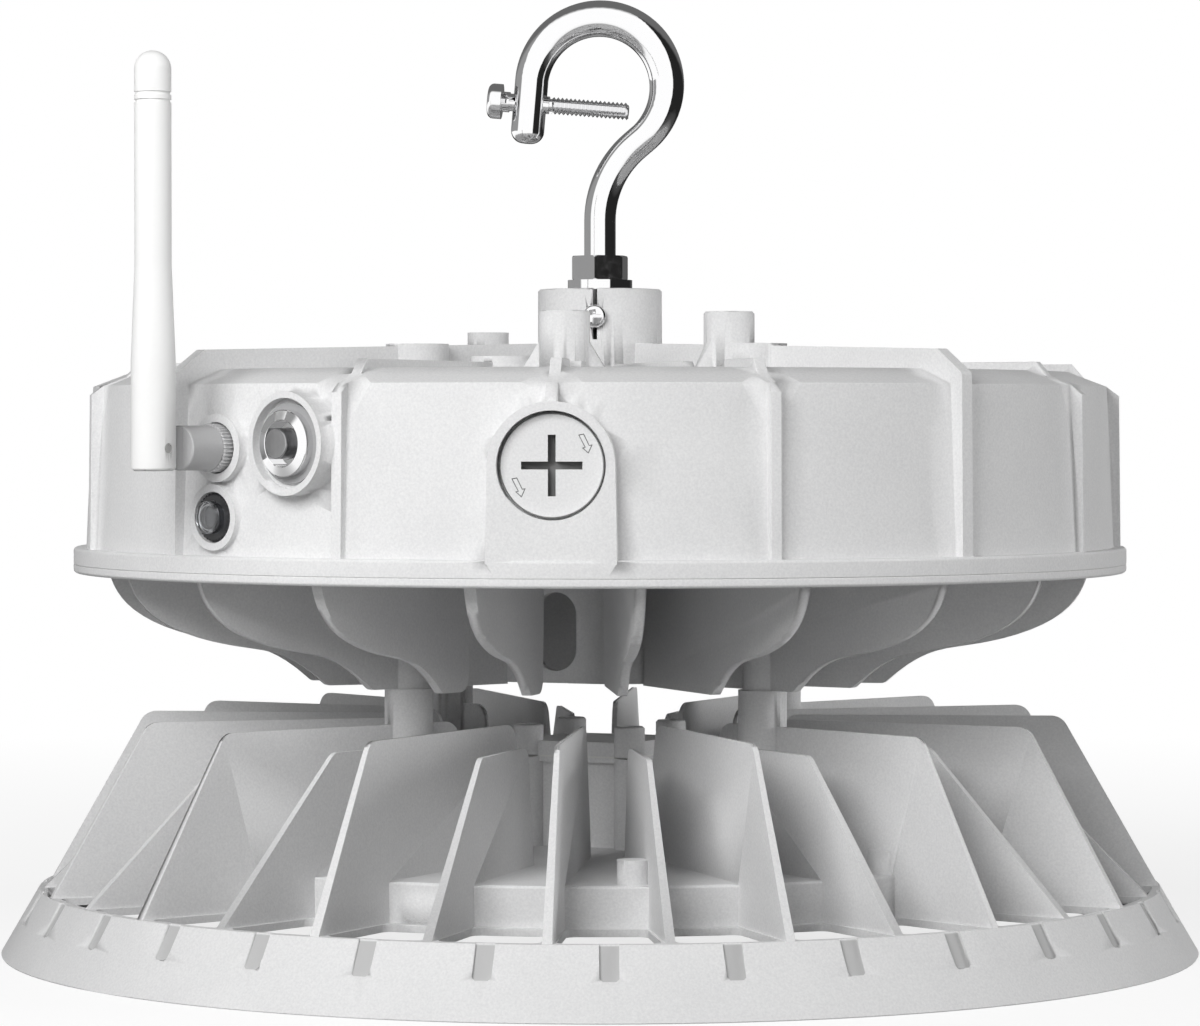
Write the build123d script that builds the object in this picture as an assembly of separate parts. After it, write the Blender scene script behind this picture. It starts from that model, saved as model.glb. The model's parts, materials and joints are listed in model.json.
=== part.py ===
from build123d import *
import os
from math import cos, radians, sin, sqrt, tan

# Round high bay light: a finned heat sink with a conical skirt, a driver housing of two castings on
# four posts above it, and a rod hook. Millimetres and degrees. The origin is the centre of the skirt's
# lower rim, +Z is up and the front is -Y. A place is given by its radius, its angle from the front
# (positive towards +X) and its height. Every height is stacked up from the rim.

# General clearances and small features
SLIP = 0.1              # radial room of a screw or stem in its hole
EDGE = 0.6              # rounding of cast edges
SINK = 1.0              # how far a cast feature reaches into what carries it
SHANK_SIDES = 12        # sides of a screw's shank
COUNTERSINK = 0.92      # countersunk head's radius over the screw's size

# Heat sink skirt, vents and disc
RIM_R = 170.0
SKIRT_H = 18.6
SKIRT_LEAN = 30.2       # lean of the skirt and of the tall fins' outer edges
SKIRT_WALL = 2.4
GROOVE_W = 5.0
GROOVE_DEPTH = 0.9
GROOVE_FOOT = 9.9       # height of the grooves' lower ends
GROOVE_CORNER = 0.8
FOOT_T = 2.0            # thickness of the vented ring
VENT_GAP = 2.5          # vents' inner ends outside the disc
VENT_EDGE = 2.4         # vented ring's outer margin at the skirt
VENT_CORNER = 3.0
VENT_SIDE = 0.6         # ledge beside each fin's foot
DISC_RIM = 1.4          # disc's wall round the retaining ring
DISC_RISE = 10.9        # disc top above the skirt's top
DISC_T = 5.0
WIRE_HOLE_R = 5.0

# Heat sink fins, tall and short in turn
FIN_PAIRS = 16
FIN_FOOT_T = 2.6
FIN_TIP_T = 1.4
TALL_H = 47.9           # above the skirt's top
TALL_IN_FOOT = 42.0
TALL_IN_TOP = 53.0
TALL_CORNER = 5.0
SHORT_H = 43.1
SHORT_IN_FOOT = 68.0
SHORT_IN_TOP = 73.0
SHORT_OUT_TOP = 114.0
SHORT_CORNER = 4.0

# Posts between the heat sink and the housing
POST_R = 69.0
POST_ANGLES = (45, 135, 225, 315)
SINK_POST_D = 13.4
SINK_POST_H = 46.8      # above the disc
BASE_POST_D = 10.7
BASE_POST_H = 31.1

# Centre box on the heat sink
BOX_TURN = -18.0
BOX_W = 30.0
BOX_WALL = 4.0
BOX_CORNER = 2.0
BOX_H = 25.5            # disc top to the lid's gasket
BOX_FLANGE = 2.0
BOX_FLANGE_T = 1.4
LID_W = 35.0
LID_T = 4.0
LID_BOSS_R = 22.0       # corner boss centres from the axis
LID_BOSS_D = 8.6
LID_BOSS_H = 4.6
BOX_GASKET_T = 0.5
BOX_SCREW_D = 3.0
BOX_SCREW_L = 14.0
BOX_HEAD_SINK = 2.4
BOX_HEAD_T = 1.8

# Light opening: board, cover plate and retaining ring
LENS_SCREWS = 10
LENS_SCREW_OUT = 3.6    # screws outside the lens
LENS_SCREW_TURN = 9.0
LENS_SCREW_D = 4.0
LENS_SCREW_L = 12.0
PEG_D = 8.4
PEG_H = 6.4
RING_T = 2.0
RING_OVERLAP = 2.0      # ring's inner edge inside the chamber's wall
RING_MARGIN = 4.0       # ring outside its screws
RING_SINK = 0.4         # ring inside the vented ring's underside
LENS_LEDGE = 4.4        # width of the lens's seat
LENS_T = 2.5
GASKET_T = 0.8
SEAT_R = 109.0          # light chamber's wall
BOARD_T = 1.6
BOARD_MARGIN = 1.5
CHIP_W = 5.0
CHIP_T = 0.7
CHIP_RINGS = ((32.0, 8), (62.0, 16), (92.0, 24))

# Housing base
FLANGE_OUT = 3.4        # flange beyond the wall's foot
BASE_T = 2.4
BASE_FINS = 20
BASE_FIN_TURN = 9.0
BASE_FIN_T = 3.2
BASE_FIN_TIP_T = 2.6
BASE_FIN_CORNER = 2.0
BASE_FIN_INSET = 9.9        # fins' feet inside the flange's edge
BASE_FIN_BENDS = ((10.4, 13.1), (32.5, 20.0))   # S curve, inwards and down from the foot
BASE_FIN_RUN = 57.0
FREE_FINS = (-27.0, -9.0)   # these two end short of the neck
FREE_FIN_R = 70.0
FREE_FIN_CORNER = 4.0
NECK_R = 36.0
NECK_WALL = 2.8
NECK_FLAT = 32.0        # distance of the neck's flat from the axis
NECK_TURN = -18.0
NECK_H = 30.6
SLOT_W = 12.6
SLOT_H = 22.0
SLOT_DROP = 5.2         # slot's top under the base plate
GROMMET_HOLE_R = 8.0
BASE_SCREWS = 10
BASE_SCREW_IN = 8.0     # screws inside the wall's foot
BASE_SCREW_D = 4.0
BASE_SCREW_L = 11.0
POST_SCREW_D = 5.0
POST_SCREW_L = 50.0

# Housing cover
COVER_FLANGE_T = 4.7
WALL_H = 49.8           # seam to the wall's top edge
WALL_R = 146.0
WALL_DRAFT = 2.2        # over the wall's height
WALL_T = 3.0
CHAMFER_IN = 10.7
CHAMFER_UP = 4.1
DECK_SINK = 0.7         # deck below the chamfer's inner edge
GASKET_GROOVE = 1.2
GASKET_IN = 1.0         # inside the wall's foot
GASKET_W = 1.8
COVER_BOSS_D = 9.0
COVER_BOSS_H = 13.0
COVER_RIBS = 16         # every fourth one is a main rib
RIB_T = 3.0
RIB_OUT = 1.8           # beyond the wall's foot
RIB_DRAFT = 0.5
RIB_SLANT = 2.6
MAIN_RIB_T = 3.65
MAIN_RIB_OUT = 2.4
MAIN_RIB_SHOULDER = 2.8     # above the wall's top edge
MAIN_RIB_STEP = 5.1         # its top corner inside the wall's top edge
MAIN_RIB_TOP = 9.2          # above the wall's top edge
MAIN_RIB_HUB_TOP = 12.4
MAIN_RIB_CORNER = 1.5
RIDGE_H = 3.0               # small ribs' ridges above the deck
RIDGE_IN = 81.0             # end of the inner ridges
RIDGE_OUT = 112.0           # start of the outer ridges
RIDGE_EDGE = 6.3            # their ends inside the wall's top edge
RIDGE_RAMP = 3.5
LONG_RIDGE = -22.5          # angle of the one unbroken ridge
HUB_R = 17.7
HUB_H = 24.5
HUB_SLIT = 1.3
HUB_SLIT_H = 14.5
HUB_SCREW_DROP = 8.0
HUB_SCREW_D = 4.0
HUB_SCREW_HEAD = 6.5
HUB_SCREW_HEAD_T = 2.0
TALL_POSTS = ((60.0, -4.5), (60.0, 41.0))
TALL_POST_D = 14.0
TALL_POST_H = 17.0
TALL_POST_BORE_R = 2.1
TALL_POST_BORE_L = 12.0
GUSSET_T = 2.4
GUSSET_OUT = 5.0
GUSSET_H = 10.0
LOW_BOSSES = ((59.0, -141.0, 12.2, 13.3), (58.0, -22.5, 17.6, 4.6))   # radius, angle, diameter, height
RIB_BOSS_R = 66.0
RIB_BOSS_D = 17.4
RIB_BOSS_H = 8.2

# Front pad and its cap
PAD_W = 33.6
PAD_PROUD = 2.5         # beyond the wall's foot
PAD_UP = 28.7           # cap axis above the seam
PAD_ARC = 16.3
CAP_HOLE_R = 13.96
CAP_R = 13.3
CAP_SINK = 2.5
CAP_HEAD_T = 2.4
CAP_NECK_R = 11.0
CAP_NECK_L = 6.0
CAP_SLOT_L = 15.6
CAP_SLOT_W = 1.95
CAP_SLOT_DEPTH = 1.2
SEAL_T = 0.6

# Side ports: shift along the wall, height above the seam, collar radius, distance of the collar's face
# from the axis, recess radius
PORT_TURN = -37.0
PORT_BACK = 7.0         # collars' inner ends inside the wall's foot
GLAND_PORT = (23.1, 34.2, 13.5, WALL_R + 1.8, 11.8)
AERIAL_PORT = (-3.0, 33.0, 8.95, WALL_R + 1.3, 6.75)
SENSOR_PORT = (-4.4, 14.8, 8.7, WALL_R + 1.3, 6.75)
GLAND_FLOOR = 2.8
GLAND_THREAD_R = 6.0
GLAND_WASHER_R = 10.5
GLAND_WASHER_T = 0.9
GLAND_FOOT_R = 8.65
GLAND_NUT_H = 4.2
GLAND_MOUTH_R = 6.1
GLAND_NOSE_R = 6.5
GLAND_PLUG_R = 4.0
GLAND_PLUG_OUT = 3.2
SMALL_FLOOR = 3.8
SENSOR_R = 4.3
SENSOR_NUT_R = 6.4
SENSOR_LENS_OUT = 2.2
SENSOR_BODY_SINK = 1.0

# Antenna
NUT_R = 6.2
NUT_OUT = 2.7
NUT_FLUTES = 28
NUT_FLUTE_DEPTH = 0.45
CONNECTOR_R = 3.1
SWIVEL_R = 5.85
PIN_OUT = 22.0          # hinge pin beyond the collar's face
SWIVEL_GAP = 8.7        # swivel's end to the pin
TONGUE_T = 4.0
TONGUE_R = 5.5
EYE_R = 4.5
EYE_L = 6.2             # low stretch of the tongue, inside the whip's foot
PIN_R = 1.25
PIN_SLIP = 0.05
PIN_SINK = 0.2          # pin's ends below the foot's surface
WHIP_FOOT_R = 5.8
WHIP_R = 4.78
WHIP_FOOT_H = 22.0      # foot's straight stretch above the pin
WHIP_NECK_H = 47.0      # where the whip has its thin diameter
WHIP_H = 102.3
WHIP_DROP = 5.9
WHIP_BEVEL = 0.8
WHIP_BANDS = (91.3, 89.3)
WHIP_BAND_T = 0.8
WHIP_BAND_DEPTH = 0.35

# Hook
ROD_D = 9.0
STEM_SINK = 20.0        # thread engagement below the hub's top
STEM_H = 19.7           # hub top to the first bend
REVERSE_R = 28.0
REVERSE_TURN = 50.0
REVERSE_RUN = 3.4
LOOP_R = 19.6
SADDLE = 1.4            # loop's extra thickness inside its top
LEG_LEAN = 4.8
LEG_D = 9.5
LEG_L = 18.3
TIP_ROUND = 3.6
GATE_DROP = 6.9         # along the leg from the loop's end
GATE_D = 5.0
GATE_REACH = 28.4       # tip beyond the leg's axis
GATE_L = 40.4
GATE_HEAD_D = 10.0
GATE_HEAD_T = 4.0
GATE_NECK_D = 5.8
GATE_NECK_L = 2.2
WASHER_D = 18.4
WASHER_T = 2.7
NUT_AF = 14.6
NUT_H = 6.9
NUT_TURN = 24.0

# Inside the housing
PAD_T = 1.2
DRIVER = (150.0, 82.0, 32.0)
DRIVER_CORNER = 6.0
TERMINAL = (46.0, 18.0, 16.0)
TERMINAL_BACK = 74.0
RADIO = (54.0, 38.0, 1.6)
RADIO_R = 103.0
RADIO_PILLAR_H = 8.0
RADIO_PILLAR_R = 3.0
RADIO_INSET = 4.5
RADIO_SCREW_D = 3.0

# Radii that follow others
LENS_R = SEAT_R + LENS_LEDGE
LENS_SCREW_R = LENS_R + LENS_SCREW_OUT
RING_OUT_R = LENS_SCREW_R + RING_MARGIN
DISC_R = RING_OUT_R + SLIP + DISC_RIM
BASE_SCREW_R = WALL_R - BASE_SCREW_IN
FLANGE_R = WALL_R + FLANGE_OUT
WALL_TOP_R = WALL_R - WALL_DRAFT
PAD_OUT = WALL_R + PAD_PROUD
PORT_IN = WALL_R - PORT_BACK

# Stacked heights
FOOT_Z = SKIRT_H - FOOT_T
DISC_Z = SKIRT_H + DISC_RISE
PLATE_Z = DISC_Z - DISC_T
TALL_Z = SKIRT_H + TALL_H
SHORT_Z = SKIRT_H + SHORT_H
JOINT_Z = DISC_Z + SINK_POST_H
BASE_Z = JOINT_Z + BASE_POST_H
RING_Z = FOOT_Z + RING_SINK
LENS_Z = RING_Z + RING_T
GASKET_Z = LENS_Z + LENS_T
SEAM_Z = BASE_Z + BASE_T
FLANGE_Z = SEAM_Z + COVER_FLANGE_T
WALL_Z = SEAM_Z + WALL_H
EDGE_Z = WALL_Z + CHAMFER_UP
DECK_Z = EDGE_Z - DECK_SINK
HUB_Z = DECK_Z + HUB_H
CAP_Z = SEAM_Z + PAD_UP
LID_Z = DISC_Z + BOX_H + BOX_GASKET_T

RADIAL = Plane(origin=(0, 0, 0), x_dir=(0, -1, 0), z_dir=(-1, 0, 0))
UP = (Align.CENTER, Align.CENTER, Align.MIN)
SKIRT_SLOPE = tan(radians(SKIRT_LEAN))
WALL_SLOPE = (WALL_R - WALL_TOP_R) / WALL_H


def at(radius, angle, height=0.0):
    """Point at a radius, an angle from the front and a height."""
    return Vector(radius * sin(radians(angle)), -radius * cos(radians(angle)), height)


def turn(shape, angle):
    """Shape made at the front, turned to another angle."""
    return Rot(0, 0, angle) * shape


def around(shape, count, first=0.0):
    """Copies of a front shape spread evenly round the axis."""
    return [turn(shape, first + k * 360.0 / count) for k in range(count)]


def post(radius, low, high, where=Vector(0, 0, 0)):
    """Upright cylinder between two heights."""
    return Pos(where.X, where.Y, low) * Cylinder(radius, high - low, align=UP)


def outline(plane, *corners):
    """Face from (x, y, size) points, rounded where the size is positive and bevelled where it is negative."""
    face = make_face(Polyline(*[(x, y) for x, y, _ in corners], close=True))
    for x, y, size in corners:
        if size > 0:
            face = fillet(face.vertices().sort_by_distance((x, y, 0))[0], size)
        if size < 0:
            face = chamfer(face.vertices().sort_by_distance((x, y, 0))[0], -size)
    return plane * face


def blade(face, root_t, root_z, tip_t, tip_z, reach):
    """Radial fin from its side face, thinner at its tip than at its root."""
    widest = max(root_t, tip_t)
    slab = extrude(face, amount=widest / 2, both=True)
    section = Plane.XZ * make_face(Polyline((-root_t / 2, root_z), (root_t / 2, root_z),
                                            (tip_t / 2, tip_z), (-tip_t / 2, tip_z), close=True))
    return slab & extrude(section, amount=reach)


def skirt_r(height):
    """Outer radius of the skirt's cone, which the tall fins follow upwards."""
    return RIM_R - height * SKIRT_SLOPE


def wall_r(height):
    """Outer radius of the housing's wall."""
    return WALL_R - (height - SEAM_Z) * WALL_SLOPE


def port(shift, height):
    """Plane of a side port, with its normal pointing out of the wall."""
    along = at(1, PORT_TURN + 90)
    origin = along * shift + Vector(0, 0, SEAM_Z + height)
    return Plane(origin=origin, x_dir=along, z_dir=at(1, PORT_TURN))


def port_rod(spec, radius, low, high):
    """Cylinder on a side port's axis between two distances from the object's axis."""
    return port(spec[0], spec[1]) * Pos(0, 0, low) * Cylinder(radius, high - low, align=UP)


def shank(size, length):
    """Screw shank of few faces, standing on the origin."""
    return extrude(RegularPolygon(size / 2, SHANK_SIDES), amount=length)


def countersunk(size, length, where):
    """Countersunk screw that points up from its head's face."""
    radius = size * COUNTERSINK
    head = loft([RegularPolygon(radius, SHANK_SIDES),
                 Pos(0, 0, radius - size / 2) * RegularPolygon(size / 2, SHANK_SIDES)])
    return Pos(where.X, where.Y, where.Z) * (shank(size, length) + head)


def countersink(size, depth, where):
    """Hole that a countersunk screw sits in."""
    radius = size * COUNTERSINK
    body = Cylinder(size / 2 + SLIP, depth, align=UP)
    body += Cone(radius + SLIP, size / 2 + SLIP, radius - size / 2, align=UP)
    return Pos(where.X, where.Y, where.Z) * body


def cross_recess(width, arm, depth):
    """Cross to cut down into a face at the origin."""
    bar = Pos(0, 0, -depth) * Box(width, arm, depth + 1, align=UP)
    return bar + Rot(0, 0, 90) * bar


def lens_screw_places():
    return [at(LENS_SCREW_R, LENS_SCREW_TURN + k * 360.0 / LENS_SCREWS) for k in range(LENS_SCREWS)]


def box_corner_places():
    return [at(LID_BOSS_R, BOX_TURN + 45 + k * 90) for k in range(4)]


def skirt():
    """Conical skirt with its round-ended grooves."""
    shell = revolve(outline(RADIAL, (skirt_r(0), 0, -EDGE / 2), (skirt_r(SKIRT_H), SKIRT_H, 0),
                            (skirt_r(SKIRT_H) - SKIRT_WALL, SKIRT_H, 0),
                            (skirt_r(0) - SKIRT_WALL, 0, -EDGE / 2)), Axis.Z)
    lean = radians(SKIRT_LEAN)
    face = Plane(origin=at(skirt_r(SKIRT_H), 0, SKIRT_H), x_dir=(1, 0, 0), z_dir=(0, -cos(lean), sin(lean)))
    low = -(SKIRT_H - GROOVE_FOOT) / cos(lean)
    mark = outline(face, (-GROOVE_W / 2, low, -GROOVE_CORNER), (GROOVE_W / 2, low, -GROOVE_CORNER),
                   (GROOVE_W / 2, 3, 0), (-GROOVE_W / 2, 3, 0))
    groove = extrude(mark, amount=-GROOVE_DEPTH) + extrude(mark, amount=1)
    return shell - around(groove, 2 * FIN_PAIRS, 90.0 / FIN_PAIRS)


def vented_ring():
    """Flat ring under the fins with one round-cornered vent in each gap."""
    outer = skirt_r(SKIRT_H) - SKIRT_WALL / 2
    half = radians(90.0 / FIN_PAIRS)
    ledge = (FIN_FOOT_T / 2 + VENT_SIDE) / cos(half)

    def gap(radius):
        return radius * tan(half) - ledge

    far = outer + 5
    near = DISC_R
    wedge = make_face(Polyline((-gap(near), -near), (gap(near), -near), (gap(far), -far), (-gap(far), -far),
                               close=True))
    vent = wedge & (Circle(skirt_r(SKIRT_H) - VENT_EDGE) - Circle(DISC_R + VENT_GAP))
    vent = fillet(vent.vertices(), VENT_CORNER)
    plate = extrude(Circle(outer) - Circle(DISC_R - SINK), amount=FOOT_T)
    cutter = Pos(0, 0, -1) * extrude(vent, amount=FOOT_T + 2)
    return Pos(0, 0, FOOT_Z) * (plate - around(cutter, 2 * FIN_PAIRS, 90.0 / FIN_PAIRS))


def disc():
    """Disc with its rim wall and the stepped seat of the light opening."""
    top = GASKET_Z + GASKET_T
    return revolve(outline(RADIAL, (WIRE_HOLE_R, DISC_Z, 0), (DISC_R, DISC_Z, -EDGE), (DISC_R, FOOT_Z, 0),
                           (RING_OUT_R + SLIP, FOOT_Z, 0), (RING_OUT_R + SLIP, LENS_Z, 0),
                           (LENS_R + SLIP, LENS_Z, 0), (LENS_R + SLIP, top, 0), (SEAT_R, top, 0),
                           (SEAT_R, PLATE_Z, 0), (WIRE_HOLE_R, PLATE_Z, 0)), Axis.Z)


def tall_fin():
    face = outline(RADIAL, (TALL_IN_FOOT, PLATE_Z + SINK, 0), (TALL_IN_TOP, TALL_Z, TALL_CORNER),
                   (skirt_r(TALL_Z), TALL_Z, TALL_CORNER), (skirt_r(FOOT_Z) - EDGE, FOOT_Z, 0),
                   (DISC_R - SINK, FOOT_Z, 0), (DISC_R - SINK, PLATE_Z + SINK, 0))
    return blade(face, FIN_FOOT_T, FOOT_Z, FIN_TIP_T, TALL_Z, RIM_R)


def short_fin():
    face = outline(RADIAL, (SHORT_IN_FOOT, PLATE_Z + SINK, 0), (SHORT_IN_TOP, SHORT_Z, SHORT_CORNER),
                   (SHORT_OUT_TOP, SHORT_Z, SHORT_CORNER), (skirt_r(FOOT_Z) - EDGE, FOOT_Z, 0),
                   (DISC_R - SINK, FOOT_Z, 0), (DISC_R - SINK, PLATE_Z + SINK, 0))
    return blade(face, FIN_FOOT_T, FOOT_Z, FIN_TIP_T, SHORT_Z, RIM_R)


def centre_box():
    """Square tower with a flange under its lid."""
    tower = extrude(RectangleRounded(BOX_W, BOX_W, BOX_CORNER), amount=BOX_H + SINK)
    flange_w = BOX_W + 2 * BOX_FLANGE
    flange = extrude(RectangleRounded(flange_w, flange_w, BOX_CORNER), amount=-BOX_FLANGE_T)
    corner = post(LID_BOSS_D / 2, DISC_Z - SINK, DISC_Z + BOX_H, at(LID_BOSS_R, 45))
    body = Pos(0, 0, DISC_Z - SINK) * tower + Pos(0, 0, DISC_Z + BOX_H) * flange + around(corner, 4)
    inside = BOX_W - 2 * BOX_WALL
    well = Pos(0, 0, DISC_Z) * extrude(RectangleRounded(inside, inside, BOX_CORNER), amount=BOX_H + 1)
    return turn(body, BOX_TURN), turn(well, BOX_TURN)


def heat_sink():
    """One casting: skirt, vented ring, disc, fins, posts, screw bosses and centre box."""
    box, well = centre_box()
    step = 360.0 / (2 * FIN_PAIRS)
    pegs = [post(PEG_D / 2, PLATE_Z, DISC_Z + PEG_H, where) for where in lens_screw_places()]
    posts = [post(SINK_POST_D / 2, DISC_Z - SINK, JOINT_Z, at(POST_R, angle)) for angle in POST_ANGLES]
    pieces = [vented_ring(), disc(), box]
    pieces += around(tall_fin(), FIN_PAIRS) + around(short_fin(), FIN_PAIRS, step)
    body = skirt() + (pieces + pegs + posts)
    holes = [post(LENS_SCREW_D / 2 + SLIP, LENS_Z - 1, DISC_Z + PEG_H - 2, where)
             for where in lens_screw_places()]
    holes += [post(POST_SCREW_D / 2 + SLIP, SEAM_Z - POST_SCREW_L - 1, JOINT_Z + 1, at(POST_R, angle))
              for angle in POST_ANGLES]
    holes += [post(BOX_SCREW_D / 2 + SLIP, DISC_Z + BOX_H - 9, DISC_Z + BOX_H + 1, where)
              for where in box_corner_places()]
    holes.append(post(WIRE_HOLE_R, PLATE_Z - 1, DISC_Z + SINK))
    return body - (holes + [well])


def box_gasket():
    side = BOX_W + 2 * BOX_FLANGE
    inside = BOX_W - 2 * BOX_WALL
    ring = extrude(RectangleRounded(side, side, BOX_CORNER) - RectangleRounded(inside, inside, BOX_CORNER),
                   amount=BOX_GASKET_T)
    ring = turn(Pos(0, 0, LID_Z - BOX_GASKET_T) * ring, BOX_TURN)
    hole_r = BOX_SCREW_D / 2 + 2 * SLIP
    return ring - [post(hole_r, LID_Z - 2, LID_Z + 1, where) for where in box_corner_places()]


def box_lid():
    """Square lid with a raised boss at each corner."""
    square = extrude(RectangleRounded(LID_W, LID_W, BOX_CORNER), amount=LID_T)
    plate = turn(Pos(0, 0, LID_Z) * square, BOX_TURN)
    bosses = []
    for where in box_corner_places():
        boss = post(LID_BOSS_D / 2, LID_Z, LID_Z + LID_T + LID_BOSS_H, where)
        bosses.append(chamfer(boss.edges().sort_by(Axis.Z)[-1], EDGE))
    lid = plate + bosses
    head_r = BOX_SCREW_D + SLIP
    top = LID_Z + LID_T + LID_BOSS_H
    for where in box_corner_places():
        lid -= post(BOX_SCREW_D / 2 + SLIP, LID_Z - 1, top + 1, where)
        lid -= post(head_r, top - BOX_HEAD_SINK, top + 1, where)
    return lid


def box_screws():
    """Four pan-head screws sunk in the lid's bosses."""
    seat = LID_Z + LID_T + LID_BOSS_H - BOX_HEAD_SINK
    screw = Pos(0, 0, -BOX_SCREW_L) * shank(BOX_SCREW_D, BOX_SCREW_L + 1)
    screw += shank(2 * BOX_SCREW_D - SLIP, BOX_HEAD_T)
    return [Pos(where.X, where.Y, seat) * screw for where in box_corner_places()]


def lens_ring():
    flat = Circle(RING_OUT_R) - Circle(SEAT_R - RING_OVERLAP)
    ring = Pos(0, 0, RING_Z) * extrude(flat, amount=RING_T)
    return ring - [countersink(LENS_SCREW_D, RING_T + 1, Vector(p.X, p.Y, RING_Z))
                   for p in lens_screw_places()]


def lens_screws():
    return [countersunk(LENS_SCREW_D, LENS_SCREW_L, Vector(p.X, p.Y, RING_Z)) for p in lens_screw_places()]


def lens_plate():
    return Pos(0, 0, LENS_Z) * Cylinder(LENS_R, LENS_T, align=UP)


def lens_gasket():
    return Pos(0, 0, GASKET_Z) * extrude(Circle(LENS_R) - Circle(SEAT_R), amount=GASKET_T)


def led_board():
    flat = Circle(SEAT_R - BOARD_MARGIN) - Circle(WIRE_HOLE_R)
    return Pos(0, 0, PLATE_Z - BOARD_T) * extrude(flat, amount=BOARD_T)


def led_chips():
    """Rings of square packages under the board."""
    chips = []
    for radius, count in CHIP_RINGS:
        chip = Pos(0, -radius, PLATE_Z - BOARD_T - CHIP_T) * Box(CHIP_W, CHIP_W, CHIP_T, align=UP)
        chips += around(chip, count)
    return chips


def base_fin(free):
    """Fin under the housing with its S-shaped outer edge."""
    top = BASE_Z + SINK
    foot_r = FLANGE_R - BASE_FIN_INSET
    tip_r = foot_r - BASE_FIN_RUN
    bends = [(foot_r - inwards, BASE_Z - down) for inwards, down in BASE_FIN_BENDS]
    curve = Spline((foot_r, BASE_Z), *bends, (tip_r, JOINT_Z), tangents=((-0.25, -1.0), (-0.8, -0.75)))
    inner = FREE_FIN_R if free else NECK_R - SINK
    edge = Polyline((tip_r, JOINT_Z), (inner, JOINT_Z), (inner, top), (foot_r, top), (foot_r, BASE_Z))
    face = make_face(Curve() + [curve, edge])
    low = face.vertices().sort_by_distance((tip_r, JOINT_Z, 0))[0]
    face = fillet(low, BASE_FIN_CORNER)
    if free:
        nose = face.vertices().sort_by_distance((inner, JOINT_Z, 0))[0]
        face = fillet(nose, FREE_FIN_CORNER)
    return blade(RADIAL * face, BASE_FIN_T, top, BASE_FIN_TIP_T, JOINT_Z, FLANGE_R)


def neck():
    """Round neck, open below, with a slotted flat."""
    low = BASE_Z - NECK_H

    def plug(radius, flat, bottom, top):
        solid = post(radius, bottom, top)
        return solid - Pos(0, -flat, bottom) * Box(4 * radius, 2 * radius, top - bottom,
                                                   align=(Align.CENTER, Align.MAX, Align.MIN))

    tube = plug(NECK_R, NECK_FLAT, low, BASE_Z + SINK)
    tube -= plug(NECK_R - NECK_WALL, NECK_FLAT - NECK_WALL, low - 1, BASE_Z)
    slot = Plane.XZ * Pos(0, BASE_Z - SLOT_DROP - SLOT_H / 2, 0) * SlotOverall(SLOT_H, SLOT_W, rotation=90)
    tube -= extrude(slot, amount=NECK_R)
    return turn(tube, NECK_TURN)


def base_screw_places():
    step = 360.0 / BASE_SCREWS
    return [at(BASE_SCREW_R, step / 2 + k * step, BASE_Z) for k in range(BASE_SCREWS)]


def housing_base():
    """Base casting: flanged plate, fins, neck and four posts."""
    plate = revolve(outline(RADIAL, (0, BASE_Z, 0), (FLANGE_R, BASE_Z, -EDGE), (FLANGE_R, SEAM_Z, 0),
                            (0, SEAM_Z, 0)), Axis.Z)
    step = 360.0 / BASE_FINS
    angles = [BASE_FIN_TURN + (k - BASE_FINS // 2) * step for k in range(BASE_FINS)]
    whole = base_fin(False)
    short = base_fin(True)
    fins = [turn(short if angle in FREE_FINS else whole, angle) for angle in angles]
    posts = [post(BASE_POST_D / 2, JOINT_Z, BASE_Z + SINK, at(POST_R, angle)) for angle in POST_ANGLES]
    inside = Pos(0, 0, JOINT_Z - 2) * Cylinder(NECK_R - NECK_WALL - SINK, BASE_Z - JOINT_Z + 2, align=UP)
    body = plate + ([neck()] + fins + posts)
    hole_r = POST_SCREW_D / 2 + SLIP
    holes = [post(hole_r, JOINT_Z - 1, SEAM_Z + 1, at(POST_R, angle)) for angle in POST_ANGLES]
    holes.append(post(GROMMET_HOLE_R, BASE_Z - 1, SEAM_Z + 1))
    holes += [countersink(BASE_SCREW_D, BASE_T + 1, p) for p in base_screw_places()]
    return body - (holes + [inside])


def housing_screws():
    return [countersunk(BASE_SCREW_D, BASE_SCREW_L, p) for p in base_screw_places()]


def standoff_screws():
    """Long screws down through the posts, with their heads on the base's floor."""
    screw = Pos(0, 0, -POST_SCREW_L) * shank(POST_SCREW_D, POST_SCREW_L + 1) + shank(POST_SCREW_D * 1.7, 3)
    return [Pos(*at(POST_R, angle, SEAM_Z)) * screw for angle in POST_ANGLES]


def wire_grommet():
    """Rubber grommet in the base's wire hole."""
    inner = GROMMET_HOLE_R - 3
    lip = GROMMET_HOLE_R + 1.6
    profile = outline(RADIAL, (inner, BASE_Z - 1.2, 0), (lip, BASE_Z - 1.2, 0), (lip, BASE_Z, 0),
                      (GROMMET_HOLE_R, BASE_Z, 0), (GROMMET_HOLE_R, SEAM_Z, 0), (lip, SEAM_Z, 0),
                      (lip, SEAM_Z + 1.0, 0), (inner, SEAM_Z + 1.0, 0))
    return revolve(profile, Axis.Z)


def housing_gasket():
    middle = WALL_R - GASKET_IN
    ring = Circle(middle + GASKET_W / 2) - Circle(middle - GASKET_W / 2)
    return Pos(0, 0, SEAM_Z) * extrude(ring, amount=GASKET_GROOVE)


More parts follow.
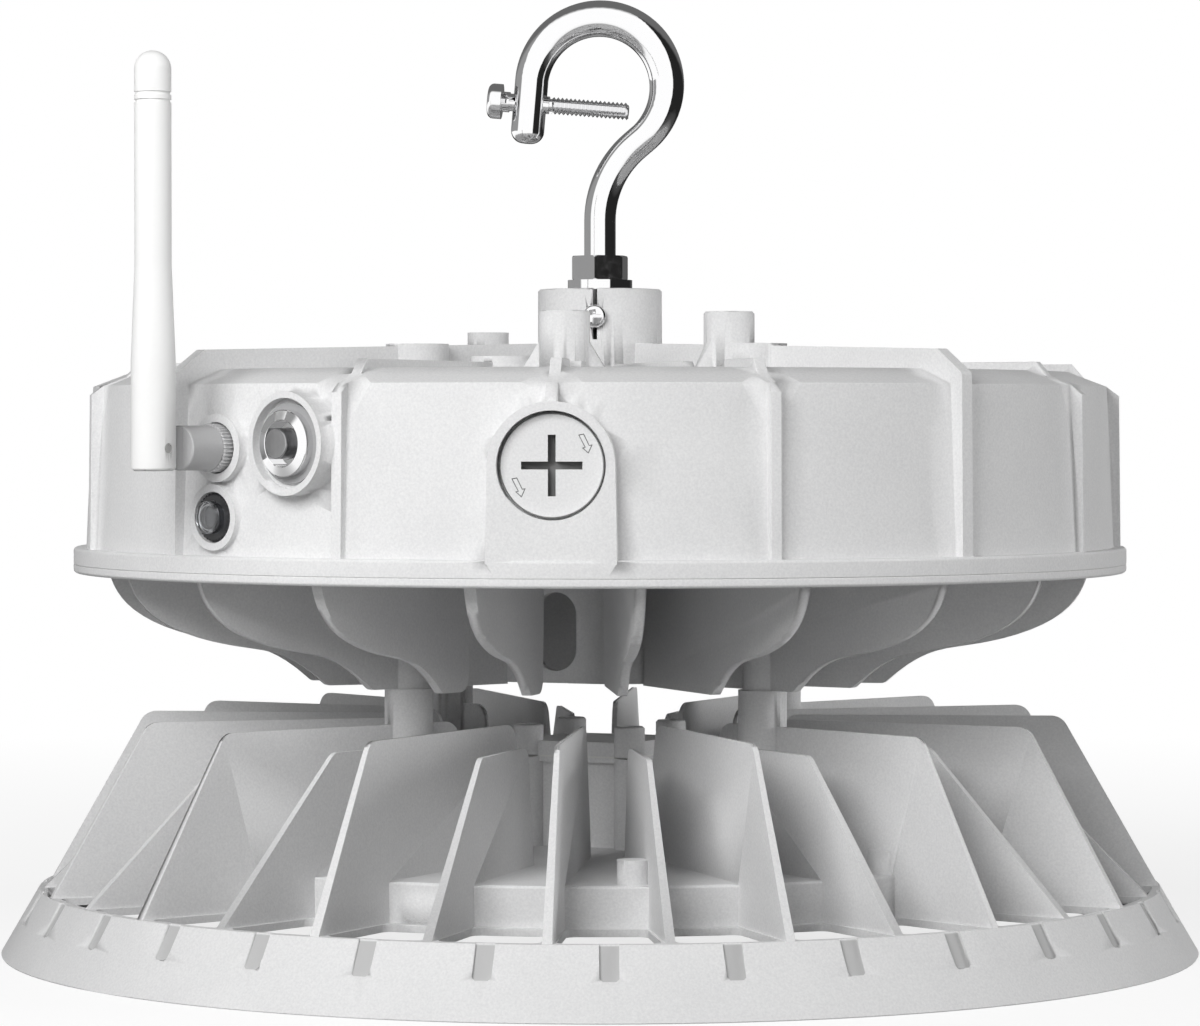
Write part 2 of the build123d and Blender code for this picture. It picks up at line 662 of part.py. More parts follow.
def side_rib():
    """Small rib on the wall with a slanted top."""
    root = WALL_TOP_R - WALL_T / 2
    out = WALL_R + RIB_OUT
    face = outline(RADIAL, (root, FLANGE_Z - SINK, 0), (out, FLANGE_Z - SINK, 0),
                   (out - RIB_DRAFT, WALL_Z - RIB_SLANT, 0), (WALL_TOP_R, WALL_Z, 0), (root, WALL_Z, 0))
    return extrude(face, amount=RIB_T / 2, both=True)


def ridge(inner, outer):
    """Low ridge on the deck."""
    top = DECK_Z + RIDGE_H
    face = outline(RADIAL, (inner, DECK_Z - SINK, 0), (inner, top, 0), (outer - RIDGE_RAMP, top, 0),
                   (outer, DECK_Z - SINK, 0))
    return extrude(face, amount=RIB_T / 2, both=True)


def main_rib():
    """Big rib that runs up the wall, over the edge and along the deck to the hub."""
    root = WALL_TOP_R - WALL_T / 2
    out = WALL_R + MAIN_RIB_OUT
    face = outline(RADIAL, (root, FLANGE_Z - SINK, 0), (out, FLANGE_Z - SINK, 0),
                   (out - RIB_DRAFT, WALL_Z + MAIN_RIB_SHOULDER, MAIN_RIB_CORNER),
                   (WALL_TOP_R - MAIN_RIB_STEP, WALL_Z + MAIN_RIB_TOP, MAIN_RIB_CORNER),
                   (HUB_R - SINK, WALL_Z + MAIN_RIB_HUB_TOP, 0), (HUB_R - SINK, DECK_Z - SINK, 0),
                   (WALL_TOP_R - CHAMFER_IN, DECK_Z - SINK, 0), (root, WALL_Z - SINK, 0))
    return extrude(face, amount=MAIN_RIB_T / 2, both=True)


def tall_post(radius, angle):
    """Threaded post on the deck with four gussets."""
    where = at(radius, angle)
    body = post(TALL_POST_D / 2, DECK_Z - SINK, DECK_Z + TALL_POST_H, where)
    body = chamfer(body.edges().sort_by(Axis.Z)[-1], EDGE)
    reach = TALL_POST_D / 2 + GUSSET_OUT
    inner = TALL_POST_D / 2 - SINK
    side = Plane.XZ * make_face(Polyline((-reach, DECK_Z - SINK), (reach, DECK_Z - SINK), (reach, DECK_Z),
                                         (inner, DECK_Z + GUSSET_H), (-inner, DECK_Z + GUSSET_H),
                                         (-reach, DECK_Z), close=True))
    web = extrude(side, amount=GUSSET_T / 2, both=True)
    webs = Rot(0, 0, angle) * (web + Rot(0, 0, 90) * web)
    return body + Pos(where.X, where.Y, 0) * webs


def front_pad():
    """Flat arched pad that the cap sits in."""
    low = FLANGE_Z - SINK
    half = PAD_W / 2
    arch = make_face(Curve() + [Polyline((-PAD_ARC, CAP_Z), (-half, low), (half, low), (PAD_ARC, CAP_Z)),
                                ThreePointArc((PAD_ARC, CAP_Z), (0, CAP_Z + PAD_ARC), (-PAD_ARC, CAP_Z))])
    inner = WALL_TOP_R - WALL_T
    return Pos(0, -inner, 0) * extrude(Plane.XZ * arch, amount=PAD_OUT - inner)


def front_rod(radius, low, high, height):
    """Cylinder on a front-facing axis between two distances from the object's axis."""
    return Pos(0, -low, height) * Rot(90, 0, 0) * Cylinder(radius, high - low, align=UP)


def driver_housing():
    """Cover casting: shell, ribs, hub, posts, bosses, front pad and side collars."""
    shell = revolve(outline(RADIAL, (0, SEAM_Z, 0), (FLANGE_R, SEAM_Z, 0), (FLANGE_R, FLANGE_Z, -EDGE),
                            (wall_r(FLANGE_Z), FLANGE_Z, 0), (WALL_TOP_R, WALL_Z, 0),
                            (WALL_TOP_R - CHAMFER_IN, EDGE_Z, 0), (WALL_TOP_R - CHAMFER_IN - 2, EDGE_Z, 0),
                            (WALL_TOP_R - CHAMFER_IN - 2, DECK_Z, 0), (0, DECK_Z, 0)), Axis.Z)
    ribs = []
    edge = WALL_TOP_R - RIDGE_EDGE
    for k in range(COVER_RIBS):
        angle = k * 360.0 / COVER_RIBS
        if k % 4 == 2:
            ribs.append(turn(main_rib(), angle))
        else:
            ribs.append(turn(side_rib(), angle))
            ribs.append(turn(ridge(RIDGE_OUT, edge), angle))
            ribs.append(turn(ridge(HUB_R - SINK, RIDGE_IN), angle))
    ribs.append(turn(ridge(HUB_R - SINK, edge), LONG_RIDGE))
    hub = chamfer(post(HUB_R, DECK_Z - SINK, HUB_Z).edges().sort_by(Axis.Z)[-1], EDGE)
    bosses = [tall_post(radius, angle) for radius, angle in TALL_POSTS]
    bosses += [post(size / 2, DECK_Z - SINK, DECK_Z + height, at(radius, angle))
               for radius, angle, size, height in LOW_BOSSES]
    bosses += [post(RIB_BOSS_D / 2, DECK_Z - SINK, DECK_Z + RIB_BOSS_H, at(RIB_BOSS_R, angle))
               for angle in POST_ANGLES]
    ports = (GLAND_PORT, AERIAL_PORT, SENSOR_PORT)
    collars = [port_rod(spec, spec[2], PORT_IN - 1, spec[3]) for spec in ports]
    body = shell + (ribs + [hub, front_pad()] + bosses + collars)

    inner = WALL_R - WALL_T
    inner_top = WALL_TOP_R - WALL_T
    hollow = revolve(outline(RADIAL, (0, SEAM_Z - 1, 0), (inner, SEAM_Z - 1, 0),
                             (inner_top, WALL_Z - WALL_T, 0), (inner_top - CHAMFER_IN, DECK_Z - WALL_T, 0),
                             (0, DECK_Z - WALL_T, 0)), Axis.Z)
    keep = [post(COVER_BOSS_D / 2, SEAM_Z, SEAM_Z + COVER_BOSS_H, p) for p in base_screw_places()]
    keep.append(front_pad() & (Pos(0, 1 - inner_top, CAP_Z) * Box(2 * PAD_ARC, 12, 2 * PAD_ARC)))
    keep += [port_rod(spec, spec[2], PORT_IN, spec[3]) for spec in ports]
    keep.append(post(ROD_D / 2 + 5, DECK_Z - 8, DECK_Z))
    body = body - (hollow - keep)

    cuts = [post(ROD_D / 2 + SLIP, HUB_Z - STEM_SINK - SLIP, HUB_Z + 1)]
    cuts.append(Pos(0, 0, HUB_Z - HUB_SLIT_H) * Box(HUB_SLIT, HUB_R + 1, HUB_SLIT_H + 1,
                                                     align=(Align.CENTER, Align.MAX, Align.MIN)))
    cuts.append(front_rod(HUB_SCREW_D / 2 + SLIP, 0, HUB_R + 1, HUB_Z - HUB_SCREW_DROP))
    mouth_z = DECK_Z + TALL_POST_H
    cuts += [post(TALL_POST_BORE_R, mouth_z - TALL_POST_BORE_L, mouth_z + 1, at(*p)) for p in TALL_POSTS]
    cuts += [post(BASE_SCREW_D / 2 + SLIP, SEAM_Z - 1, SEAM_Z + BASE_SCREW_L, p) for p in base_screw_places()]
    half = GASKET_W / 2 + SLIP
    groove = Circle(WALL_R - GASKET_IN + half) - Circle(WALL_R - GASKET_IN - half)
    cuts.append(Pos(0, 0, SEAM_Z - 1) * extrude(groove, amount=GASKET_GROOVE + 1))
    cap_face = PAD_OUT - CAP_SINK
    cuts.append(front_rod(CAP_HOLE_R, cap_face - CAP_HEAD_T - SEAL_T, PAD_OUT + 1, CAP_Z))
    cuts.append(front_rod(CAP_NECK_R + SLIP, WALL_TOP_R - 3 * WALL_T, PAD_OUT, CAP_Z))
    for spec, floor, thread in ((GLAND_PORT, GLAND_FLOOR, GLAND_THREAD_R + SLIP),
                                (AERIAL_PORT, SMALL_FLOOR, CONNECTOR_R + SLIP),
                                (SENSOR_PORT, SMALL_FLOOR, SENSOR_R + SLIP)):
        cuts.append(port_rod(spec, spec[4], spec[3] - floor, spec[3] + 1))
        cuts.append(port_rod(spec, thread, PORT_IN - 3, spec[3]))
    return body - cuts


def access_cap():
    """Screw-in cap with a cross slot."""
    face = PAD_OUT - CAP_SINK
    body = front_rod(CAP_R, face - CAP_HEAD_T, face, CAP_Z)
    body = chamfer(body.edges().sort_by(Axis.Y)[0], 0.4)
    body += front_rod(CAP_NECK_R, face - CAP_HEAD_T - CAP_NECK_L, face - CAP_HEAD_T, CAP_Z)
    cut = cross_recess(CAP_SLOT_W, CAP_SLOT_L, CAP_SLOT_DEPTH)
    return body - Pos(0, -face, CAP_Z) * Rot(90, 0, 0) * cut


def access_cap_seal():
    back = PAD_OUT - CAP_SINK - CAP_HEAD_T
    seal = front_rod(CAP_R, back - SEAL_T, back, CAP_Z)
    return seal - front_rod(CAP_NECK_R + SLIP, back - 2, back + 1, CAP_Z)


def gland_parts():
    """Washer, conical gland nut and plug of the large port."""
    floor = GLAND_PORT[3] - GLAND_FLOOR
    washer = port_rod(GLAND_PORT, GLAND_WASHER_R, floor, floor + GLAND_WASHER_T)
    washer -= port_rod(GLAND_PORT, GLAND_THREAD_R + SLIP, floor - 1, floor + GLAND_WASHER_T + 1)
    seat = floor + GLAND_WASHER_T
    cone = Pos(0, 0, seat) * Cone(GLAND_FOOT_R, GLAND_NOSE_R, GLAND_NUT_H, align=UP)
    nut = port(GLAND_PORT[0], GLAND_PORT[1]) * cone
    nut += port_rod(GLAND_PORT, GLAND_THREAD_R, PORT_IN - 6, seat + 1)
    nut -= port_rod(GLAND_PORT, GLAND_MOUTH_R, seat + 1.6, seat + GLAND_NUT_H + 1)
    nut -= port_rod(GLAND_PORT, GLAND_PLUG_R + SLIP, PORT_IN - 7, seat + 3)
    plug = port_rod(GLAND_PORT, GLAND_PLUG_R, PORT_IN - 6, GLAND_PORT[3] + GLAND_PLUG_OUT)
    plug = fillet(plug.edges().group_by(SortBy.DISTANCE)[-1], 0.4)
    return washer, nut, plug


def antenna_nut():
    """Knurled nut with straight flutes, sunk in its collar."""
    low = AERIAL_PORT[3] - SMALL_FLOOR
    high = AERIAL_PORT[3] + NUT_OUT
    step = 180.0 / NUT_FLUTES
    rim = [at(NUT_R - NUT_FLUTE_DEPTH * (k % 2), k * step) for k in range(2 * NUT_FLUTES)]
    toothed = extrude(make_face(Polyline(*rim, close=True)), amount=high - low)
    nut = port(AERIAL_PORT[0], AERIAL_PORT[1]) * Pos(0, 0, low) * toothed
    return nut - port_rod(AERIAL_PORT, CONNECTOR_R + SLIP, low - 1, high + 1)


def antenna_connector():
    """Threaded barrel through the wall with its flange inside."""
    face = AERIAL_PORT[3]
    return port_rod(AERIAL_PORT, CONNECTOR_R, PORT_IN - 8, face + NUT_OUT) + \
        port_rod(AERIAL_PORT, CONNECTOR_R + 2, PORT_IN - 2, PORT_IN)


def antenna_swivel():
    """Grey elbow: round body and a stepped tongue with the hinge eye."""
    pin = AERIAL_PORT[3] + PIN_OUT
    low = AERIAL_PORT[3] + NUT_OUT + PIN_SLIP
    body = port_rod(AERIAL_PORT, SWIVEL_R, low, pin - SWIVEL_GAP)
    plane = port(AERIAL_PORT[0], AERIAL_PORT[1])
    tongue = Pos(0, 0, pin - SWIVEL_GAP - SINK) * Box(TONGUE_T, 2 * TONGUE_R, SWIVEL_GAP + SINK - EYE_L,
                                                         align=UP)
    tongue += Pos(0, 0, pin - EYE_L - SINK) * Box(TONGUE_T, 2 * EYE_R, EYE_L + SINK, align=UP)
    eye = Pos(0, 0, pin) * Rot(0, 90, 0) * Cylinder(EYE_R, TONGUE_T)
    hole = Pos(0, 0, pin) * Rot(0, 90, 0) * Cylinder(PIN_R + SLIP, TONGUE_T + 2)
    return body + plane * (tongue + eye) - plane * hole


def antenna_pin():
    plane = port(AERIAL_PORT[0], AERIAL_PORT[1])
    pin = AERIAL_PORT[3] + PIN_OUT
    return plane * Pos(0, 0, pin) * Rot(0, 90, 0) * Cylinder(PIN_R, 2 * (WHIP_FOOT_R - PIN_SINK))


def antenna_whip():
    """White whip: foot with a slot open to the wall and below, slow taper, two bands and a domed tip."""
    pin = AERIAL_PORT[3] + PIN_OUT
    dome_z = WHIP_H - WHIP_R
    half = WHIP_R * sin(radians(45))
    shaft = make_face(Curve() + [
        Polyline((0, WHIP_H), (0, -WHIP_DROP), (WHIP_FOOT_R - WHIP_BEVEL, -WHIP_DROP),
                 (WHIP_FOOT_R, WHIP_BEVEL - WHIP_DROP), (WHIP_FOOT_R, WHIP_FOOT_H), (WHIP_R, WHIP_NECK_H),
                 (WHIP_R, dome_z)),
        ThreePointArc((WHIP_R, dome_z), (half, dome_z + half), (0, WHIP_H))])
    body = revolve(RADIAL * shaft, Axis.Z)
    for height in WHIP_BANDS:
        band = extrude(Circle(WHIP_R + 1) - Circle(WHIP_R - WHIP_BAND_DEPTH), amount=WHIP_BAND_T)
        body -= Pos(0, 0, height - WHIP_BAND_T / 2) * band
    gap = TONGUE_T + 4 * SLIP
    room = EYE_R + 2 * SLIP
    slot = Rot(0, 90, 0) * Cylinder(room, gap)
    opening = Box(gap, 4 * WHIP_FOOT_R, 4 * WHIP_FOOT_R, align=(Align.CENTER, Align.MIN, Align.MAX))
    slot += [Pos(0, -room, 0) * opening, Pos(0, 0, room) * opening]
    body -= slot
    body -= Rot(0, 90, 0) * Cylinder(PIN_R + SLIP / 2, 4 * WHIP_FOOT_R)
    base = port(AERIAL_PORT[0], AERIAL_PORT[1])
    place = base.origin + base.z_dir * pin
    return Pos(place.X, place.Y, place.Z) * Rot(0, 0, PORT_TURN) * body


def light_sensor_parts():
    """Sensor can, its ring nut and its clear window."""
    face = SENSOR_PORT[3]
    low = face - SMALL_FLOOR
    nut = port_rod(SENSOR_PORT, SENSOR_NUT_R, low, face - 0.3)
    nut -= port_rod(SENSOR_PORT, SENSOR_R + SLIP, low - 1, face + 1)
    nut = chamfer(nut.edges().filter_by(GeomType.CIRCLE).group_by(SortBy.RADIUS)[-1], 0.5)
    body = port_rod(SENSOR_PORT, SENSOR_R, PORT_IN - 6, face - SENSOR_BODY_SINK)
    body += port_rod(SENSOR_PORT, SENSOR_R + 2, PORT_IN - 2, PORT_IN)
    lens = port_rod(SENSOR_PORT, SENSOR_R, face - SENSOR_BODY_SINK, face + SENSOR_LENS_OUT)
    lens -= port_rod(SENSOR_PORT, SENSOR_R - 0.9, face - SENSOR_BODY_SINK - 1, face + SENSOR_LENS_OUT - 0.9)
    return body, nut, lens


def hook_frame():
    """Corner points of the hook's centre line in its own plane."""
    bend_z = HUB_Z + STEM_H
    turn_by = radians(REVERSE_TURN)
    first = (REVERSE_R * (1 - cos(turn_by)), bend_z + REVERSE_R * sin(turn_by))
    second = (first[0] + REVERSE_RUN * sin(turn_by), first[1] + REVERSE_RUN * cos(turn_by))
    centre = (second[0] - LOOP_R * cos(turn_by), second[1] + LOOP_R * sin(turn_by))
    return bend_z, first, second, centre


def leg_place(along):
    """Point on the leg's axis at a distance from the loop's end."""
    centre = hook_frame()[3]
    lean = radians(LEG_LEAN)
    return Vector(centre[0] - LOOP_R * cos(lean) - along * sin(lean), 0,
                  centre[1] + LOOP_R * sin(lean) - along * cos(lean))


def gate_plane():
    """Plane on the gate screw's axis at the leg, with its normal towards the tip."""
    lean = radians(LEG_LEAN)
    return Plane(origin=leg_place(GATE_DROP), x_dir=(0, 1, 0), z_dir=(cos(lean), 0, -sin(lean)))


def loop_plane(angle, radius=LOOP_R):
    """Plane across the loop at an angle from +X, with its normal along the rod."""
    centre = hook_frame()[3]
    turn_by = radians(angle)
    origin = (centre[0] + radius * cos(turn_by), 0, centre[1] + radius * sin(turn_by))
    return Plane(origin=origin, x_dir=(cos(turn_by), 0, sin(turn_by)), z_dir=(-sin(turn_by), 0, cos(turn_by)))


def hook():
    """Bent rod with a thicker saddle and a round-tipped leg, drilled for the gate screw."""
    bend_z, first, second, _ = hook_frame()
    middle = radians(REVERSE_TURN / 2)
    path = Curve() + [
        Line((0, 0, HUB_Z - STEM_SINK), (0, 0, bend_z)),
        ThreePointArc((0, 0, bend_z), (REVERSE_R * (1 - cos(middle)), 0, bend_z + REVERSE_R * sin(middle)),
                      (first[0], 0, first[1])),
        Line((first[0], 0, first[1]), (second[0], 0, second[1]))]
    rod = sweep(Pos(0, 0, HUB_Z - STEM_SINK) * Circle(ROD_D / 2), path=path)
    low = -REVERSE_TURN
    high = 180 - LEG_LEAN
    loop = Edge.make_three_point_arc(*[loop_plane(angle).origin for angle in (low, (low + high) / 2, high)])
    sections = [loop_plane(low) * Circle(ROD_D / 2),
                loop_plane(90, LOOP_R - SADDLE / 2) * Ellipse((ROD_D + SADDLE) / 2, ROD_D / 2),
                loop_plane(high) * Circle(LEG_D / 2)]
    rod += sweep(sections, path=loop, multisection=True)
    leg = Cylinder(LEG_D / 2, LEG_L, align=UP)
    rod += loop_plane(high) * fillet(leg.edges().sort_by(Axis.Z)[-1], TIP_ROUND)
    return rod - gate_plane() * Cylinder(GATE_D / 2 + SLIP, 3 * ROD_D)


def hook_gate_screw():
    """Pan-head screw with a thicker neck under its head."""
    start = GATE_REACH - GATE_L
    head = Pos(0, 0, start) * Cylinder(GATE_HEAD_D / 2, GATE_HEAD_T, align=UP)
    head = fillet(head.edges().sort_by(Axis.Z)[0], 1.6)
    cut = Pos(0, 0, start) * Rot(180, 0, 0) * cross_recess(1.2, 5.2, 1.8)
    neck_low = start + GATE_HEAD_T
    neck_part = Pos(0, 0, neck_low) * Cylinder(GATE_NECK_D / 2, GATE_NECK_L, align=UP)
    shank = Pos(0, 0, neck_low) * Cylinder(GATE_D / 2, GATE_L - GATE_HEAD_T, align=UP)
    shank = chamfer(shank.edges().sort_by(Axis.Z)[-1], 0.5)
    return gate_plane() * (head + neck_part + shank - cut)


def hook_washer():
    ring = extrude(Circle(WASHER_D / 2) - Circle(ROD_D / 2 + 2 * SLIP), amount=WASHER_T)
    return Pos(0, 0, HUB_Z) * ring


def hook_lock_nut():
    """Hexagon nut with its corners turned down at both ends."""
    block = extrude(RegularPolygon(NUT_AF / 2, 6, major_radius=False), amount=NUT_H)
    corner_r = NUT_AF / sqrt(3)
    limit = Cylinder(corner_r, NUT_H, align=UP)
    block = block & chamfer(limit.edges().filter_by(GeomType.CIRCLE), 0.5)
    block -= Pos(0, 0, -1) * Cylinder(ROD_D / 2 + SLIP, NUT_H + 2, align=UP)
    return Pos(0, 0, HUB_Z + WASHER_T) * Rot(0, 0, NUT_TURN) * block


def hub_lock_screw():
    """Screw in the hub's slit that presses on the stem."""
    height = HUB_Z - HUB_SCREW_DROP
    shank = front_rod(HUB_SCREW_D / 2, ROD_D / 2 + 2 * SLIP, HUB_R, height)
    head = front_rod(HUB_SCREW_HEAD / 2, HUB_R, HUB_R + HUB_SCREW_HEAD_T, height)
    head = fillet(head.edges().sort_by(Axis.Y)[0], 1.0)
    cut = Pos(0, -HUB_R - HUB_SCREW_HEAD_T, height) * Rot(90, 0, 0) * cross_recess(0.9, 3.8, 1.2)
    return shank + head - cut


def thermal_pad():
    return Pos(0, 0, SEAM_Z) * Box(DRIVER[0] - 4, DRIVER[1] - 4, PAD_T, align=UP) - \
        post(GROMMET_HOLE_R + 3, SEAM_Z - 1, SEAM_Z + PAD_T + 1)


def led_driver():
    """Potted driver block."""
    block = extrude(RectangleRounded(DRIVER[0], DRIVER[1], DRIVER_CORNER), amount=DRIVER[2])
    return Pos(0, 0, SEAM_Z + PAD_T) * block


def terminal_block():
    """Row of screw terminals behind the driver."""
    block = Box(*TERMINAL, align=UP)
    for k in range(5):
        where = (k - 2) * TERMINAL[0] / 5
        block -= Pos(where, 0, TERMINAL[2] - 4) * Cylinder(2.2, 5, align=UP)
    return Pos(0, TERMINAL_BACK, SEAM_Z) * block


def radio_corners():
    step_x = RADIO[0] / 2 - RADIO_INSET
    step_y = RADIO[1] / 2 - RADIO_INSET
    return [(x, y) for x in (-step_x, step_x) for y in (-step_y, step_y)]


def radio_place():
    return Pos(*at(RADIO_R, PORT_TURN, SEAM_Z)) * Rot(0, 0, PORT_TURN)


def control_board():
    """Board for the antenna and the light sensor, with its shielded module."""
    board = Box(*RADIO, align=UP)
    module = Pos(6, 0, RADIO[2]) * Box(20, 24, 3, align=UP)
    board += module
    board -= [Pos(x, y, -1) * Cylinder(RADIO_SCREW_D / 2 + SLIP, 4, align=UP) for x, y in radio_corners()]
    return radio_place() * Pos(0, 0, RADIO_PILLAR_H) * board


def board_standoffs():
    pillar = extrude(RegularPolygon(RADIO_PILLAR_R, 6), amount=RADIO_PILLAR_H)
    pillar -= Pos(0, 0, RADIO_PILLAR_H - 6) * Cylinder(RADIO_SCREW_D / 2 + SLIP, 7, align=UP)
    return [radio_place() * Pos(x, y, 0) * pillar for x, y in radio_corners()]


def board_screws():
    seat = RADIO_PILLAR_H + RADIO[2]
    screw = Pos(0, 0, -5) * shank(RADIO_SCREW_D, 6) + shank(RADIO_SCREW_D * 1.8, 2)
    return [radio_place() * Pos(x, y, seat) * screw for x, y in radio_corners()]


def save(name, shape):
    """Write one node, joining a list of separate solids in one file."""
    solids = shape if isinstance(shape, list) else [shape]
    whole = Compound(children=[solid for piece in solids for solid in piece.solids()])
    export_step(whole, f"parts/{name}.step")


os.makedirs("parts", exist_ok=True)
gland_washer, cable_gland, gland_plug = gland_parts()
light_sensor_body, light_sensor_nut, light_sensor_lens = light_sensor_parts()
NODES = {
    "hook": hook(),
    "hook_gate_screw": hook_gate_screw(),
    "hook_lock_nut": hook_lock_nut(),
    "hook_washer": hook_washer(),
    "hub_lock_screw": hub_lock_screw(),
    "driver_housing": driver_housing(),
    "access_cap": access_cap(),
    "access_cap_seal": access_cap_seal(),
    "cable_gland": cable_gland,
    "gland_washer": gland_washer,
    "gland_plug": gland_plug,
    "antenna_connector": antenna_connector(),
    "antenna_nut": antenna_nut(),
    "antenna_swivel": antenna_swivel(),
    "antenna_pin": antenna_pin(),
    "antenna_whip": antenna_whip(),
    "light_sensor_body": light_sensor_body,
    "light_sensor_nut": light_sensor_nut,
    "light_sensor_lens": light_sensor_lens,
    "housing_gasket": housing_gasket(),
    "housing_base": housing_base(),
    "housing_screws": housing_screws(),
    "standoff_screws": standoff_screws(),
    "wire_grommet": wire_grommet(),
    "thermal_pad": thermal_pad(),
    "led_driver": led_driver(),
    "terminal_block": terminal_block(),
    "control_board": control_board(),
    "board_standoffs": board_standoffs(),
    "board_screws": board_screws(),
    "heat_sink": heat_sink(),
    "box_gasket": box_gasket(),
    "box_lid": box_lid(),
    "box_screws": box_screws(),
    "led_board": led_board(),
    "led_chips": led_chips(),
    "lens_gasket": lens_gasket(),
    "lens_plate": lens_plate(),
    "lens_ring": lens_ring(),
    "lens_screws": lens_screws(),
}
for node, shape in NODES.items():
    save(node, shape)
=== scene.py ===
# High bay light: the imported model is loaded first, then each piece is dressed or modelled in the order in
# which the light is put together, from the heat sink up to the hook. Metres; the front is -Y.
import json
from math import atan2, cos, pi, radians, sin

import bmesh
import bpy
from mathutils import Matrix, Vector

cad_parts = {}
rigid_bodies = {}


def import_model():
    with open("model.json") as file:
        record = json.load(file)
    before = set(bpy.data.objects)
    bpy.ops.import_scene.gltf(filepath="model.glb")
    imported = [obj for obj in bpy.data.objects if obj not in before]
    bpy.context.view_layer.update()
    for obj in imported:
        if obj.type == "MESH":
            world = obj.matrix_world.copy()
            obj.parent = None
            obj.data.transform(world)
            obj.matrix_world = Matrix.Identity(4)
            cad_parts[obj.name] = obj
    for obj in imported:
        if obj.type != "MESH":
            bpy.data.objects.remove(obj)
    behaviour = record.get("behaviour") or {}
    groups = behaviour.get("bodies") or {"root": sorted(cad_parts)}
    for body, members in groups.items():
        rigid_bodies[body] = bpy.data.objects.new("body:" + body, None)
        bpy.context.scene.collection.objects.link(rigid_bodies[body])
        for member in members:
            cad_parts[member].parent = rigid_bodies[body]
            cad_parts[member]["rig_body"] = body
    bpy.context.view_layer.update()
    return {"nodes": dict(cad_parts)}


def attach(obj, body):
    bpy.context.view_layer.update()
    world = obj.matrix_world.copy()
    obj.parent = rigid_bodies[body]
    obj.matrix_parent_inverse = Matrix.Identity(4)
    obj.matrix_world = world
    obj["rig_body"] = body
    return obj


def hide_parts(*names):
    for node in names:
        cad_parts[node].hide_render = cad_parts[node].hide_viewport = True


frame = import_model()


# Camera: the photograph's long lens, a little right of the front, on a level with the driver housing. Its
# place was solved from points on the rims and posts.
camera_data = bpy.data.cameras.new("camera")
camera_data.sensor_width = 36.0
camera_data.lens = 133.26
camera_data.clip_end = 100.0
camera = bpy.data.objects.new("camera", camera_data)
camera.location = (0.10618, -1.26451, 0.1476)
camera.rotation_euler = (radians(90 - 1.0763), 0, radians(4.8))
bpy.context.scene.collection.objects.link(camera)
bpy.context.scene.camera = camera


# Heat sink: one die casting in aluminium, blasted and coated in light grey. Its skirt, vented ring, disc,
# fins, posts and centre box are one piece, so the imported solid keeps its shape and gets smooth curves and
# a cast skin.
class Term:
    """A socket or number that adds Math nodes when it is used in an expression."""

    def __init__(self, finish, socket):
        self.finish = finish
        self.socket = socket

    def math(self, operation, first, second):
        return self.finish.node("Math", {"operation": operation}, {0: first, 1: second})

    def __add__(self, other):
        return self.math("ADD", self, other)

    def __radd__(self, other):
        return self.math("ADD", other, self)

    def __sub__(self, other):
        return self.math("SUBTRACT", self, other)

    def __rsub__(self, other):
        return self.math("SUBTRACT", other, self)

    def __mul__(self, other):
        return self.math("MULTIPLY", self, other)

    def __rmul__(self, other):
        return self.math("MULTIPLY", other, self)


class Finish:
    """A material with one main shader, built from nodes and expressions."""

    def __init__(self, name, metallic, **fixed):
        self.material = bpy.data.materials.new(name)
        self.material.use_nodes = True
        self.tree = self.material.node_tree
        self.shader = self.tree.nodes["Principled BSDF"]
        self.shader.inputs["Metallic"].default_value = metallic
        for key, value in fixed.items():
            self.shader.inputs[key.replace("_", " ")].default_value = value
        self.place = self.node("TexCoord", output="Object")

    def node(self, kind, settings=None, sockets=None, output=0):
        """Any node: its settings first, then the values or links of its sockets."""
        made = self.tree.nodes.new("ShaderNode" + kind)
        for key, value in (settings or {}).items():
            setattr(made, key, value)
        for key, value in (sockets or {}).items():
            self.feed(made.inputs[key], value)
        return Term(self, made.outputs[output])

    def feed(self, socket, value):
        if isinstance(value, Term):
            self.tree.links.new(value.socket, socket)
        else:
            socket.default_value = value

    def axis(self, index):
        """One coordinate of the point on the surface: 0, 1 or 2."""
        return self.node("SeparateXYZ", None, {0: self.place}, output=index)

    def band(self, value, low, high, start=0.0, end=1.0):
        """Level that goes from start to end as a value goes from low to high."""
        return self.node("MapRange", None, {0: value, 1: low, 2: high, 3: start, 4: end})

    def noise(self, scale, detail=2.0, roughness=0.5):
        return self.node("TexNoise", None, {"Vector": self.place, "Scale": scale, "Detail": detail,
                                            "Roughness": roughness})

    def mix(self, amount, first, second):
        """Colour mix."""
        return self.node("Mix", {"data_type": "RGBA"}, {0: amount, 6: first, 7: second}, output=2)

    def set(self, **links):
        for key, value in links.items():
            self.feed(self.shader.inputs[key.replace("_", " ")], value)


